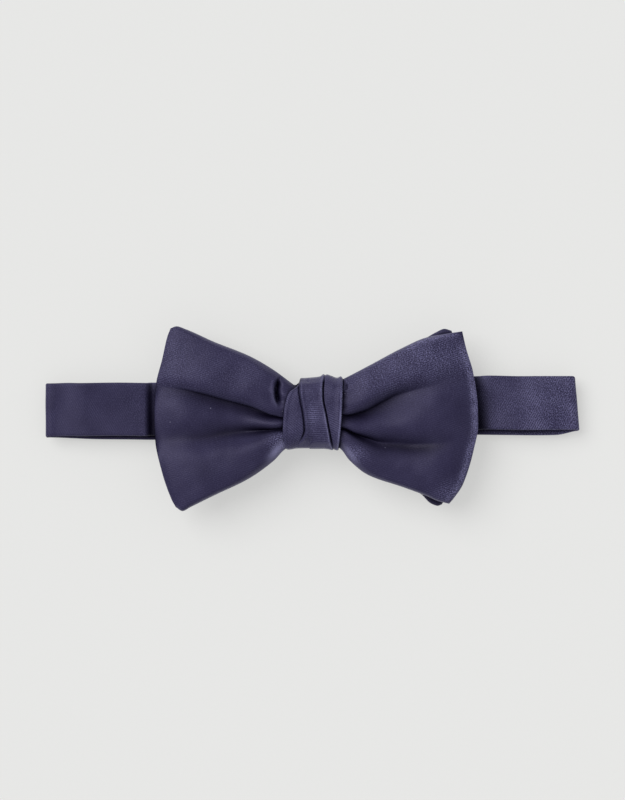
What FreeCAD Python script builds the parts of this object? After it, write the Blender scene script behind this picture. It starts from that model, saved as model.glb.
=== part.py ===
"""Pre-tied satin bow tie with an adjustable neckband, lying on its back with the band closed and pressed flat.

Frame: +Z up out of the bow's face, +X to the right as seen from the front, +Y to the top edge.
The origin is on the resting plane, under the middle of the knot. Units are millimetres.

Bow: a front and a back satin cover, each with its own interlining, are bound at the waist with thread.
A knot wrap with its own interlining goes round the waist, and hand stitches close it at the back.
Neckband: one satin strap with an interlining. The front ply is tacked to the knot. Both ends of the band turn
back under the bow: the left tail ends in a wire eye, the right tail in a hook. The right tail goes through an
adjuster slide and round the hook's bar, and its end is sewn round the slide's middle bar.
"""
import FreeCAD, Part
import math
import os
from types import SimpleNamespace

from FreeCAD import Vector

import PartDesign
import Sketcher

DIMENSIONS = {
    # neckband strap
    "band_width": 20.0,
    "band_thickness": 1.1,
    "left_centre": 1.0,
    "right_centre": 3.4,
    "right_tail_centre": 1.6,
    "slide_centre": 0.9,
    "clasp_centre": 0.0,
    "satin_wall": 0.3,
    "lining_play": 0.05,
    "front_ply": 6.25,
    "tail_ply": 3.95,
    "fold_x": 97.9,
    "fold_radius": 1.15,
    "bend_stub": 2.0,
    "front_split_x": 55.0,
    "tail_split_x": 12.0,
    # sewn loops at the ends of the strap
    "hook_bar_x": -18.0,
    "eye_bar_x": -35.1,
    "fitting_bar": 2.25,
    "loop_radius": 1.7,
    "loop_slack": 0.1,
    "loop_return": 10.0,
    "slide_bar": 1.65,
    "slide_loop_radius": 1.1,
    "slide_loop_slack": 0.55,
    # adjuster slide
    "slide_x": 35.0,
    "slide_sheet": 0.9,
    "slide_reach": 5.3,
    "slide_half_width": 12.5,
    "slide_bar_width": 1.6,
    "slide_rise": 3.4,
    "slot_half_width": 11.2,
    # hook
    "hook_sheet": 1.2,
    "hook_bar_width": 1.8,
    "hook_slot": 2.0,
    "hook_rim": 2.2,
    "hook_half_width": 12.5,
    "tongue_width": 7.0,
    "tongue_sheet": 1.0,
    "throat_radius": 1.05,
    "throat_reach": 9.0,
    "tip_length": 2.2,
    "joggle": 1.8,
    # eye
    "wire_radius": 0.75,
    "eye_length": 9.0,
    "eye_half_width": 11.6,
    "eye_bend": 2.2,
    # outline shared by both layers of the bow
    "waist_x": 11.5,
    "waist_y": 11.8,
    "side_y": 12.0,
    "belly": 2.4,
    # front layer
    "front_bottom": 13.0,
    "front_thickness": 5.0,
    "front_left_top_x": 51.2,
    "front_left_top_y": 31.4,
    "front_left_side_x": 58.6,
    "front_left_low_x": 49.6,
    "front_left_low_y": 36.4,
    "front_right_top_x": 55.4,
    "front_right_top_y": 29.8,
    "front_right_side_x": 61.2,
    "front_right_low_x": 48.9,
    "front_right_low_y": 34.2,
    # back layer
    "rear_bottom": 8.9,
    "rear_thickness": 4.0,
    "rear_left_top_x": 49.0,
    "rear_left_top_y": 29.6,
    "rear_left_side_x": 56.0,
    "rear_left_low_x": 47.0,
    "rear_left_low_y": 34.0,
    "rear_right_top_x": 50.0,
    "rear_right_top_y": 31.2,
    "rear_right_side_x": 57.5,
    "rear_right_low_x": 47.5,
    "rear_right_low_y": 34.8,
    # making of both layers
    "loop_corner": 3.0,
    "blade_corner": 0.8,
    "hem": 1.2,
    "cover_wall": 0.5,
    "lining_gap": 0.1,
    "turning_gap_x": 8.0,
    "turning_gap_y": 4.0,
    # knot
    "knot_half_length": 11.0,
    "knot_half_height": 13.7,
    "knot_bottom": 7.0,
    "knot_top": 19.9,
    "knot_wall": 0.7,
    "knot_edge": 0.5,
    "knot_lining_wall": 0.5,
    "seam_gap": 1.0,
    "thread": 0.4,
    "thread_play": 0.05,
    "thread_pitch": 0.9,
    # stitches
    "stitch": 0.5,
    "tack_span": 14.0,
    "tack_run": 0.3,
    "knot_tack_x": 8.0,
    "return_tack_offset": 6.0,
}
WINDINGS = 5
SEAM_STITCHES = 6
TACK_STITCHES = 7
TOUCHING = 0.01

doc = FreeCAD.newDocument("bow_tie")
sheet = doc.addObject("Spreadsheet::Sheet", "dims")
for row, (alias, value) in enumerate(DIMENSIONS.items(), start=1):
    sheet.set(f"A{row}", alias)
    sheet.set(f"B{row}", str(value))
    sheet.setAlias(f"B{row}", alias)
doc.recompute()


# ---------------------------------------------------------------- measures bound to the spreadsheet


class Measure:
    """A number that also carries the spreadsheet expression it comes from."""

    def __init__(self, text, value):
        self.text = text
        self.value = value

    def __add__(self, other):
        other = measure(other)
        return Measure(f"({self.text} + {other.text})", self.value + other.value)

    def __sub__(self, other):
        other = measure(other)
        return Measure(f"({self.text} - {other.text})", self.value - other.value)

    def __mul__(self, factor):
        return Measure(f"({self.text} * {factor})", self.value * factor)

    def __truediv__(self, divisor):
        return Measure(f"({self.text} / {divisor})", self.value / divisor)

    def __neg__(self):
        return Measure(f"(0 - {self.text})", -self.value)


def measure(number):
    return number if isinstance(number, Measure) else Measure(str(number), number)


size = SimpleNamespace(**{alias: Measure(f"dims.{alias}", sheet.get(alias)) for alias in DIMENSIONS})


def bind(target, name, amount):
    target.setExpression(name, measure(amount).text)


# ---------------------------------------------------------------- bodies and sketches


def new_body(label):
    body = doc.addObject("PartDesign::Body", label)
    body.Label = label
    body.AllowCompound = True
    return body


def origin_feature(body, role):
    return next(item for item in body.Origin.OriginFeatures if item.Role == role)


def new_sketch(body, plane, name):
    sketch = body.newObject("Sketcher::SketchObject", name)
    sketch.AttachmentSupport = [(origin_feature(body, plane), "")]
    sketch.MapMode = "FlatFace"
    return sketch


def constrain(sketch, kind, *where, amount):
    """Adds a dimension to a sketch and binds it to the spreadsheet."""
    index = sketch.addConstraint(Sketcher.Constraint(kind, *where, measure(amount).value))
    bind(sketch, f"Constraints[{index}]", amount)


def pin(sketch, item, end, x, y):
    """Holds one point of an item at x and y from the sketch's origin."""
    constrain(sketch, "DistanceX", -1, 1, item, end, amount=x)
    constrain(sketch, "DistanceY", -1, 1, item, end, amount=y)


def polygon(sketch, corners):
    """A closed outline with straight sides."""
    corners = [(measure(x), measure(y)) for x, y in corners]
    points = [Vector(x.value, y.value, 0) for x, y in corners]
    lines = []
    for start, end in zip(points, points[1:] + points[:1]):
        lines.append(sketch.addGeometry(Part.LineSegment(start, end), False))
    for line, following in zip(lines, lines[1:] + lines[:1]):
        sketch.addConstraint(Sketcher.Constraint("Coincident", line, 2, following, 1))
    for line, (x, y) in zip(lines, corners):
        pin(sketch, line, 1, x, y)


def rectangle(sketch, x_low, x_high, y_low, y_high):
    polygon(sketch, [(x_low, y_low), (x_high, y_low), (x_high, y_high), (x_low, y_high)])


def pad(body, sketch, length, name, centred=False, backwards=False):
    feature = body.newObject("PartDesign::Pad", name)
    feature.Profile = sketch
    feature.SideType = "Symmetric" if centred else "One side"
    feature.Reversed = backwards
    bind(feature, "Length", length)
    doc.recompute()
    return feature


def cut_both_ways(body, sketch, length, name):
    before = body.Shape.Volume
    feature = body.newObject("PartDesign::Pocket", name)
    feature.Profile = sketch
    feature.SideType = "Symmetric"
    bind(feature, "Length", length)
    doc.recompute()
    if body.Shape.Volume > before - TOUCHING:
        raise RuntimeError(f"{body.Label}: {name} cut nothing")
    return feature


def round_edges(body, base, radius, wanted, name):
    names = [f"Edge{i}" for i, edge in enumerate(base.Shape.Edges, start=1) if wanted(edge)]
    if not names:
        raise RuntimeError(f"{body.Label}: {name} found no edge")
    feature = body.newObject("PartDesign::Fillet", name)
    feature.Base = (base, names)
    bind(feature, "Radius", radius)
    doc.recompute()
    return feature


def repeat(body, base, axis, span, count, name):
    feature = body.newObject("PartDesign::LinearPattern", name)
    feature.Originals = [base]
    feature.Direction = (origin_feature(body, axis), [""])
    feature.Occurrences = count
    bind(feature, "Length", span)
    body.Tip = feature
    doc.recompute()
    return feature


def place(item, x=0, y=0, z=0, turned=False):
    """Puts a part in the frame; turned faces it the other way along X."""
    half_turn = FreeCAD.Rotation(Vector(0, 0, 1), 180 if turned else 0)
    item.Placement = FreeCAD.Placement(Vector(), half_turn)
    for axis, amount in zip("xyz", (x, y, z)):
        bind(item, f"Placement.Base.{axis}", amount)


def run_of(edge):
    """The vector from one end of a straight edge to the other."""
    return edge.Vertexes[-1].Point - edge.Vertexes[0].Point


def upright_at(*corners):
    """A test for upright edges that stand on one of the corners."""
    spots = [(measure(x).value, measure(y).value) for x, y in corners]

    def wanted(edge):
        run = run_of(edge)
        if math.hypot(run.x, run.y) > TOUCHING or abs(run.z) < TOUCHING:
            return False
        foot = edge.Vertexes[0].Point
        return any(math.hypot(foot.x - x, foot.y - y) < TOUCHING for x, y in spots)

    return wanted


# ---------------------------------------------------------------- neckband


def satin_section(sketch, height):
    """The strap cut across: a flat tube of satin, with its middle at a height."""
    for inset in (0, size.satin_wall):
        half_width = size.band_width / 2 - inset
        half_height = size.band_thickness / 2 - inset
        rectangle(sketch, -half_width, half_width, height - half_height, height + half_height)


def lining_section(sketch, height):
    """The strip of interlining that lies loose in the satin tube."""
    inset = size.satin_wall + size.lining_play
    half_width = size.band_width / 2 - inset
    half_height = size.band_thickness / 2 - inset
    rectangle(sketch, -half_width, half_width, height - half_height, height + half_height)


SECTIONS = {"satin": satin_section, "interlining": lining_section}


def straight_strap(label, centre, x_low, x_high, height):
    for layer, draw_section in SECTIONS.items():
        body = new_body(f"{label}_{layer}")
        sketch = new_sketch(body, "YZ_Plane", "Section")
        draw_section(sketch, measure(0))
        pad(body, sketch, x_high - x_low, "Length")
        place(body, x_low, centre, height)


def bent_strap(label, centre, radius, top, bottom, x, height, turned=False):
    """A half turn of strap bulging to +X, or to -X when turned, with a straight ply above and below."""
    for layer, draw_section in SECTIONS.items():
        body = new_body(f"{label}_{layer}")
        section = new_sketch(body, "YZ_Plane", "BendSection")
        draw_section(section, radius)
        bend = body.newObject("PartDesign::Revolution", "Bend")
        bend.Profile = section
        bend.ReferenceAxis = (origin_feature(body, "Y_Axis"), [""])
        bend.Angle = 180
        doc.recompute()
        if body.Shape.CenterOfMass.x < 0:
            bend.Reversed = True
            doc.recompute()
        for name, ply, length in (("Top", radius, top), ("Bottom", -radius, bottom)):
            sketch = new_sketch(body, "YZ_Plane", f"{name}Section")
            draw_section(sketch, ply)
            pad(body, sketch, length, f"{name}Ply", backwards=True)
        place(body, x, centre, height, turned)


def neckband():
    left, right, clasp = size.left_centre, size.right_centre, size.clasp_centre
    fold_start = size.fold_x - size.bend_stub
    fold_height = size.front_ply - size.fold_radius
    fold = (size.fold_radius, size.bend_stub, size.bend_stub)
    straight_strap("band_front", left, -fold_start, size.front_split_x, size.front_ply)
    straight_strap("band_front_right", right, size.front_split_x, fold_start, size.front_ply)
    bent_strap("band_left_fold", left, *fold, -size.fold_x, fold_height, turned=True)
    bent_strap("band_right_fold", right, *fold, size.fold_x, fold_height)

    eye_loop = (size.loop_radius, size.bend_stub, size.loop_return)
    straight_strap("left_tail", clasp, -fold_start, size.eye_bar_x - size.bend_stub, size.tail_ply)
    bent_strap("eye_loop", clasp, *eye_loop, size.eye_bar_x, size.fitting_bar)

    hook_loop = (size.loop_radius, size.bend_stub, size.bend_stub)
    hook_loop_x = size.hook_bar_x - size.loop_slack
    hook_loop_end = hook_loop_x + size.bend_stub
    straight_strap("right_tail", size.right_tail_centre, size.tail_split_x, fold_start, size.tail_ply)
    straight_strap("right_tail_end", clasp, hook_loop_end, size.tail_split_x, size.tail_ply)
    bent_strap("hook_loop", clasp, *hook_loop, hook_loop_x, size.fitting_bar, turned=True)

    slide_loop = (size.slide_loop_radius, size.loop_return, size.loop_return)
    slide_loop_x = size.slide_x + size.slide_loop_slack
    slide_loop_start = slide_loop_x - size.loop_return
    return_height = size.fitting_bar - size.loop_radius
    straight_strap("return_ply", clasp, hook_loop_end, slide_loop_start, return_height)
    bent_strap("slide_loop", size.slide_centre, *slide_loop, slide_loop_x, size.slide_bar)


# ---------------------------------------------------------------- metal fittings


def adjuster_slide():
    """An arched slide with three bars: the outer two ride over the tail, the middle one lies under it."""
    body = new_body("adjuster_slide")
    half_sheet = size.slide_sheet / 2
    half_bar = size.slide_bar_width / 2
    shoulder = size.slide_reach - size.slide_bar_width
    under_arch = size.slide_rise - half_sheet
    over_arch = size.slide_rise + half_sheet
    arch = [
        (-half_bar, -half_sheet),
        (half_bar, -half_sheet),
        (shoulder, under_arch),
        (size.slide_reach, under_arch),
        (size.slide_reach, over_arch),
        (shoulder, over_arch),
        (half_bar, half_sheet),
        (-half_bar, half_sheet),
        (-shoulder, over_arch),
        (-size.slide_reach, over_arch),
        (-size.slide_reach, under_arch),
        (-shoulder, under_arch),
    ]
    side = new_sketch(body, "XZ_Plane", "Arch")
    polygon(side, arch)
    pad(body, side, size.slide_half_width * 2, "Sheet", centred=True)
    slots = new_sketch(body, "XY_Plane", "Slots")
    rectangle(slots, half_bar, shoulder, -size.slot_half_width, size.slot_half_width)
    rectangle(slots, -shoulder, -half_bar, -size.slot_half_width, size.slot_half_width)
    slotted = cut_both_ways(body, slots, size.slide_rise * 4, "StrapSlots")
    sides = (-size.slide_half_width, size.slide_half_width)
    corners = [(x, y) for x in (-size.slide_reach, size.slide_reach) for y in sides]
    round_edges(body, slotted, size.slide_sheet, upright_at(*corners), "Corners")
    place(body, size.slide_x, size.slide_centre, size.slide_bar)


def hook_plate(body):
    """The flat end of the hook, with the slot that the strap goes through."""
    back = size.hook_bar_width / 2
    slot_end = -back - size.hook_slot
    front = slot_end - size.hook_rim
    outline = new_sketch(body, "XY_Plane", "Plate")
    rectangle(outline, front, back, -size.hook_half_width, size.hook_half_width)
    rectangle(outline, slot_end, -back, -size.slot_half_width, size.slot_half_width)
    sheet_metal = pad(body, outline, size.hook_sheet, "PlatePad", centred=True)
    corners = [(x, y) for x in (front, back) for y in (-size.hook_half_width, size.hook_half_width)]
    round_edges(body, sheet_metal, size.hook_sheet, upright_at(*corners), "Corners")
    return front


def hook_tongue(body, front):
    """The narrow tongue, stepped down from the plate's front rim and then straight to the curl."""
    inner = size.throat_radius
    outer = size.throat_radius + size.tongue_sheet
    half_sheet = size.hook_sheet / 2
    root = front + size.hook_rim / 2
    side = [
        (-size.throat_reach, -outer),
        (front - size.joggle + size.hook_sheet / 2, -outer),
        (root - half_sheet, -half_sheet),
        (root, -half_sheet),
        (root, half_sheet),
        (front - half_sheet / 2, half_sheet),
        (front - size.joggle, -inner),
        (-size.throat_reach, -inner),
    ]
    tongue = new_sketch(body, "XZ_Plane", "Tongue")
    polygon(tongue, side)
    pad(body, tongue, size.tongue_width, "TonguePad", centred=True)
    tip = new_sketch(body, "XZ_Plane", "Tip")
    rectangle(tip, -size.throat_reach, size.tip_length - size.throat_reach, inner, outer)
    pad(body, tip, size.tongue_width, "TipPad", centred=True)


def hook_curl(body):
    """The half round of sheet that joins the tongue to the tip above it."""
    curl = new_sketch(body, "XZ_Plane", "Curl")
    centre = Vector(-size.throat_reach.value, 0, 0)
    radii = (size.throat_radius, size.throat_radius + size.tongue_sheet)
    arcs = []
    for radius in radii:
        circle = Part.Circle(centre, Vector(0, 0, 1), radius.value)
        arcs.append(curl.addGeometry(Part.ArcOfCircle(circle, math.pi / 2, 3 * math.pi / 2), False))
        constrain(curl, "Radius", arcs[-1], amount=radius)
        pin(curl, arcs[-1], 3, -size.throat_reach, 0)
    for end, way in ((1, 1), (2, -1)):
        start, stop = [centre + Vector(0, way * radius.value, 0) for radius in radii]
        line = curl.addGeometry(Part.LineSegment(start, stop), False)
        curl.addConstraint(Sketcher.Constraint("Coincident", line, 1, arcs[0], end))
        curl.addConstraint(Sketcher.Constraint("Coincident", line, 2, arcs[1], end))
        curl.addConstraint(Sketcher.Constraint("Vertical", line))
        curl.addConstraint(Sketcher.Constraint("PointOnObject", arcs[0], 3, line))
    pad(body, curl, size.tongue_width, "CurlPad", centred=True)


def hook():
    body = new_body("hook")
    front = hook_plate(body)
    hook_tongue(body, front)
    hook_curl(body)
    place(body, size.hook_bar_x, size.clasp_centre, size.fitting_bar)


def eye_path(sketch):
    """The wire's centre line: a rectangle with round corners, starting at the middle of the +Y side."""
    half_length, half_width, bend = size.eye_length / 2, size.eye_half_width, size.eye_bend
    near_x, near_y = half_length.value - bend.value, half_width.value - bend.value
    start = Vector(0, half_width.value, 0)
    at = start
    pieces = []
    turns = [(-near_x, near_y), (-near_x, -near_y), (near_x, -near_y), (near_x, near_y)]
    for turn, (x, y) in enumerate(turns, start=1):
        circle = Part.Circle(Vector(x, y, 0), Vector(0, 0, 1), bend.value)
        arc = Part.ArcOfCircle(circle, turn * math.pi / 2, (turn + 1) * math.pi / 2)
        pieces += [Part.LineSegment(at, arc.StartPoint), arc]
        at = arc.EndPoint
    pieces.append(Part.LineSegment(at, start))
    items = [sketch.addGeometry(piece, False) for piece in pieces]
    for item, following in zip(items, items[1:]):
        sketch.addConstraint(Sketcher.Constraint("Coincident", item, 2, following, 1))
    sketch.addConstraint(Sketcher.Constraint("Coincident", items[-1], 2, items[0], 1))
    for arc, x, y in zip(items[1::2], (-1, -1, 1, 1), (1, -1, -1, 1)):
        constrain(sketch, "Radius", arc, amount=bend)
        pin(sketch, arc, 3, (half_length - bend) * x, (half_width - bend) * y)
    for arc, kinds in zip(items[1::2], (("Vertical", "Horizontal"), ("Horizontal", "Vertical")) * 2):
        for end, kind in enumerate(kinds, start=1):
            sketch.addConstraint(Sketcher.Constraint(kind, arc, 3, arc, end))
    sketch.addConstraint(Sketcher.Constraint("Horizontal", items[0]))
    constrain(sketch, "DistanceX", -1, 1, items[0], 1, amount=0)
    return items


def eye_ring():
    """A closed ring of round wire, longer across the strap than along it."""
    body = new_body("eye_ring")
    path = new_sketch(body, "XY_Plane", "Path")
    items = eye_path(path)
    wire = new_sketch(body, "YZ_Plane", "Wire")
    circle = Part.Circle(Vector(size.eye_half_width.value, 0, 0), Vector(0, 0, 1), size.wire_radius.value)
    ring = wire.addGeometry(circle, False)
    constrain(wire, "Radius", ring, amount=size.wire_radius)
    pin(wire, ring, 3, size.eye_half_width, 0)
    doc.recompute()
    pipe = body.newObject("PartDesign::AdditivePipe", "Ring")
    pipe.Profile = wire
    pipe.Spine = (path, [f"Edge{i}" for i in range(1, len(items) + 1)])
    doc.recompute()
    place(body, size.eye_bar_x + size.eye_length / 2, size.clasp_centre, size.fitting_bar)


# ---------------------------------------------------------------- bow


def bow_outline(layer, inset):
    """The corners of one layer of the bow, drawn in by inset all round."""
    waist_y = size.waist_y - inset
    reaches = ("top_x", "top_y", "side_x", "low_x", "low_y")
    outline = []
    for side in ("left", "right"):
        drawn_in = [getattr(size, f"{layer}_{side}_{reach}") - inset for reach in reaches]
        top_x, top_y, side_x, low_x, low_y = drawn_in
        wing = [
            (size.waist_x, waist_y),
            ((size.waist_x + top_x) / 2, (waist_y + top_y) / 2 + size.belly),
            (top_x, top_y),
            (side_x, size.side_y),
            (side_x, -size.side_y),
            (low_x, -low_y),
            ((size.waist_x + low_x) / 2, -((waist_y + low_y) / 2 + size.belly)),
            (size.waist_x, -waist_y),
        ]
        outline += [(-x, y) for x, y in wing] if side == "left" else wing[::-1]
    return outline


def wing_corners(outline, side):
    """The top and the low corner of the left or the right wing."""
    return (outline[2], outline[5]) if side == "left" else (outline[10], outline[13])


def bow_layer(layer, round_sides, crisp_sides):
    """A satin cover with a turning gap in its back, and the interlining inside it."""
    bottom = getattr(size, f"{layer}_bottom")
    thickness = getattr(size, f"{layer}_thickness")
    outside = new_body(f"bow_{layer}_outside")
    outline = bow_outline(layer, 0)
    sketch = new_sketch(outside, "XY_Plane", "Outline")
    polygon(sketch, outline)
    solid = pad(outside, sketch, thickness, "Outside")
    for sides, radius in ((round_sides, size.loop_corner), (crisp_sides, size.blade_corner)):
        for side in sides:
            corners = upright_at(*wing_corners(outline, side))
            solid = round_edges(outside, solid, radius, corners, f"{side}_corners")
    place(outside, z=bottom)

    hollow = new_body(f"bow_{layer}_hollow")
    sketch = new_sketch(hollow, "XY_Plane", "Outline")
    polygon(sketch, bow_outline(layer, size.hem))
    pad(hollow, sketch, thickness - size.cover_wall * 2, "Inside")
    gap = new_sketch(hollow, "XY_Plane", "Gap")
    half_x, half_y = size.turning_gap_x / 2, size.turning_gap_y / 2
    rectangle(gap, -half_x, half_x, -half_y, half_y)
    pad(hollow, gap, size.cover_wall * 2, "TurningGap", backwards=True)
    place(hollow, z=bottom + size.cover_wall)

    cover = doc.addObject("Part::Cut", f"bow_{layer}_satin")
    cover.Label = f"bow_{layer}_satin"
    cover.Base = outside
    cover.Tool = hollow

    lining = new_body(f"bow_{layer}_interlining")
    sketch = new_sketch(lining, "XY_Plane", "Outline")
    polygon(sketch, bow_outline(layer, size.hem + size.lining_gap))
    pad(lining, sketch, thickness - (size.cover_wall + size.lining_gap) * 2, "Sheet")
    place(lining, z=bottom + size.cover_wall + size.lining_gap)


# ---------------------------------------------------------------- knot


def ring_section(sketch, half_y, low, high, wall):
    """A rectangular ring seen along X, by its outer size and its wall."""
    rectangle(sketch, -half_y, half_y, low, high)
    rectangle(sketch, wall - half_y, half_y - wall, low + wall, high - wall)


def open_seam(body, low, wall):
    """Opens a ring at the back, where the two ends of the strip meet."""
    slot = new_sketch(body, "YZ_Plane", "Seam")
    half_gap = size.seam_gap / 2
    rectangle(slot, -half_gap, half_gap, low - wall, low + wall * 1.5)
    return cut_both_ways(body, slot, size.knot_half_length * 3, "SeamGap")


def knot_wrap():
    body = new_body("knot_wrap")
    section = new_sketch(body, "YZ_Plane", "Section")
    ring_section(section, size.knot_half_height, size.knot_bottom, size.knot_top, size.knot_wall)
    pad(body, section, size.knot_half_length * 2, "Wrap", centred=True)
    opened = open_seam(body, size.knot_bottom, size.knot_wall)

    def face_edge(edge):
        run, foot = run_of(edge), edge.Vertexes[0].Point
        lengthwise = math.hypot(run.y, run.z) < TOUCHING
        outermost = abs(foot.y) > size.knot_half_height.value - TOUCHING
        return lengthwise and outermost and foot.z > size.knot_top.value - TOUCHING

    round_edges(body, opened, size.knot_edge, face_edge, "FaceEdges")


def knot_interlining():
    body = new_body("knot_interlining")
    inset = size.knot_wall + size.lining_gap
    low = size.knot_bottom + inset
    section = new_sketch(body, "YZ_Plane", "Section")
    ring_section(section, size.knot_half_height - inset, low, size.knot_top - inset, size.knot_lining_wall)
    pad(body, section, (size.knot_half_length - size.knot_edge) * 2, "Strip", centred=True)
    open_seam(body, low, size.knot_lining_wall)


def knot_seam_stitches():
    """Hand stitches across the seam at the back of the knot, with the thread running between them."""
    body = new_body("knot_seam_stitches")
    half = size.stitch / 2
    reach = size.knot_tack_x - size.stitch * 3
    run = new_sketch(body, "XY_Plane", "Run")
    rectangle(run, -reach, reach, -half, half)
    pad(body, run, size.stitch, "RunPad", centred=True)
    stitch = new_sketch(body, "XY_Plane", "Stitch")
    rectangle(stitch, -reach, size.stitch - reach, -size.stitch * 3, size.stitch * 3)
    one = pad(body, stitch, size.stitch, "StitchPad", centred=True)
    repeat(body, one, "X_Axis", reach * 2 - size.stitch, SEAM_STITCHES, "Stitches")
    place(body, 0, 0, size.knot_bottom + size.knot_wall / 2)


def waist_thread():
    """The thread wound round both layers of the bow, with a short run at the back that joins the turns."""
    body = new_body("waist_thread")
    reach = size.thread + size.thread_play
    low = size.rear_bottom - reach
    high = size.front_bottom + size.front_thickness + reach
    half_row = size.thread_pitch * (WINDINGS - 1) / 2
    turn = new_sketch(body, "YZ_Plane", "Turn")
    ring_section(turn, size.waist_y + reach, low, high, size.thread)
    one = pad(body, turn, size.thread, "TurnPad", centred=True)
    repeat(body, one, "X_Axis", half_row * 2, WINDINGS, "Turns")
    run = new_sketch(body, "YZ_Plane", "Run")
    rectangle(run, -size.thread / 2, size.thread / 2, low, low + size.thread)
    pad(body, run, half_row * 2, "RunPad")
    place(body, -half_row)


# ---------------------------------------------------------------- stitches through the strap


def tack(label, x, centre, low, high):
    """A row of stitches through the strap, with a run of thread along its top and its bottom."""
    body = new_body(label)
    half_span, half = size.tack_span / 2, size.stitch / 2
    rise = high - low
    first = new_sketch(body, "XY_Plane", "Post")
    rectangle(first, -half, half, -half_span - half, half - half_span)
    one = pad(body, first, rise, "PostPad")
    repeat(body, one, "Y_Axis", size.tack_span, TACK_STITCHES, "Posts")
    for name, bottom in (("Low", measure(0)), ("High", rise - size.tack_run)):
        run = new_sketch(body, "XZ_Plane", f"{name}Run")
        rectangle(run, -half, half, bottom, bottom + size.tack_run)
        pad(body, run, size.tack_span, f"{name}RunPad", centred=True)
    place(body, x, centre, low)


def tacks():
    half_strap = size.band_thickness / 2
    eye_tack_x = size.eye_bar_x - size.return_tack_offset
    tack("eye_tack", eye_tack_x, size.clasp_centre, measure(0), size.tail_ply + half_strap)
    slide_tack_x = size.slide_x - size.return_tack_offset
    slide_loop_top = size.slide_bar + size.slide_loop_radius + half_strap
    tack("slide_tack", slide_tack_x, size.slide_centre, measure(0), slide_loop_top)
    low, high = size.front_ply - half_strap, size.knot_bottom + size.knot_wall
    tack("knot_tack_left", -size.knot_tack_x, size.left_centre, low, high)
    tack("knot_tack_right", size.knot_tack_x, size.left_centre, low, high)


# ---------------------------------------------------------------- build, check and write


def finished_parts():
    """The bodies and cuts that are parts; the outside and hollow of a cover only make its cut."""
    kinds = ("PartDesign::Body", "Part::Cut")
    return [item for item in doc.Objects if item.TypeId in kinds and not item.Label.endswith(("_outside", "_hollow"))]


def check_sound():
    for item in doc.Objects:
        if {"Invalid", "Error"} & set(item.State):
            raise RuntimeError(f"{item.Label} did not build: {item.State}")
    for part in finished_parts():
        if part.Shape.isNull() or not part.Shape.isValid() or part.Shape.Volume <= 0:
            raise RuntimeError(f"{part.Label} has no sound shape")


def write_parts():
    os.makedirs("parts", exist_ok=True)
    for part in finished_parts():
        part.Shape.exportStep(os.path.join("parts", f"{part.Label}.step"))
        box = part.Shape.BoundBox
        print(f"{part.Label:26s} {len(part.Shape.Solids)} {part.Shape.Volume:9.2f} mm3", end="  ")
        print(f"x {box.XMin:.2f}..{box.XMax:.2f} y {box.YMin:.2f}..{box.YMax:.2f} z {box.ZMin:.2f}..{box.ZMax:.2f}")


neckband()
adjuster_slide()
hook()
eye_ring()
bow_layer("rear", ("left", "right"), ())
bow_layer("front", ("left",), ("right",))
knot_wrap()
knot_interlining()
knot_seam_stitches()
waist_thread()
tacks()
doc.recompute()
check_sound()
write_parts()
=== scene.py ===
import math

import bmesh
import bpy
import numpy as np
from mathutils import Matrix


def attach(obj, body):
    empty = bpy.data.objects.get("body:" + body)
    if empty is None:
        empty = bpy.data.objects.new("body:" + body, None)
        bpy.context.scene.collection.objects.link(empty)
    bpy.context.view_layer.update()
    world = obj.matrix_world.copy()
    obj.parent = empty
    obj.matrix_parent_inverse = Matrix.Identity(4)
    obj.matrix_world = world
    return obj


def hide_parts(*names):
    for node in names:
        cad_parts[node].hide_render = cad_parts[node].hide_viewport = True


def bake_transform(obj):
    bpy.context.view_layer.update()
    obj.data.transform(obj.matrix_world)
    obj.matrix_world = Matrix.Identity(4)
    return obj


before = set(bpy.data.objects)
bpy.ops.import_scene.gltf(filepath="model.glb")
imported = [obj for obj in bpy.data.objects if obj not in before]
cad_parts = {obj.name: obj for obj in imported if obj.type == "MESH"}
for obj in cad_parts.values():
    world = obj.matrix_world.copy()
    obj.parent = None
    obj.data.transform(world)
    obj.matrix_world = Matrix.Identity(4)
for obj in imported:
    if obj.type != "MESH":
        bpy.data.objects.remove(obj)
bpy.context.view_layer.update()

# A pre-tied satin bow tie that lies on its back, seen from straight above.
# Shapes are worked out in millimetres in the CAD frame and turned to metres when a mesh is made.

MM = 0.001


# ---------------- small numeric helpers


def ramp(low, high, value):
    """0 below low and 1 above high, with a smooth rise between them."""
    share = np.clip((np.asarray(value, float) - low) / (high - low), 0, 1)
    return share * share * (3 - 2 * share)


def through(points, at):
    """Height at each x of a smooth curve that never overshoots its points, which are in order of x."""
    x, y = np.array(points, float).T
    rise = np.diff(y) / np.diff(x)
    steady = rise[:-1] * rise[1:] > 0
    mean = 2 * rise[:-1] * rise[1:] / np.where(steady, rise[:-1] + rise[1:], 1)
    slope = np.r_[rise[0], np.where(steady, mean, 0), rise[-1]]
    at = np.clip(np.asarray(at, float), x[0], x[-1])
    i = np.clip(np.searchsorted(x, at) - 1, 0, len(x) - 2)
    step = x[i + 1] - x[i]
    q = (at - x[i]) / step
    start = (1 + 2 * q) * (1 - q) ** 2 * y[i] + q * (1 - q) ** 2 * step * slope[i]
    end = q * q * (3 - 2 * q) * y[i + 1] + q * q * (q - 1) * step * slope[i + 1]
    return start + end


def trace(points, shares):
    """Places on a smooth line through the points, at shares of its length from 0 to 1."""
    points = np.array(points, float)
    knots = np.r_[0, np.cumsum(np.linalg.norm(np.diff(points, axis=0), axis=1))]
    fine = np.linspace(0, knots[-1], 400)
    line = np.stack([through(np.c_[knots, column], fine) for column in points.T], 1)
    length = np.r_[0, np.cumsum(np.linalg.norm(np.diff(line, axis=0), axis=1))]
    return np.stack([np.interp(shares * length[-1], length, column) for column in line.T], 1)


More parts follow.
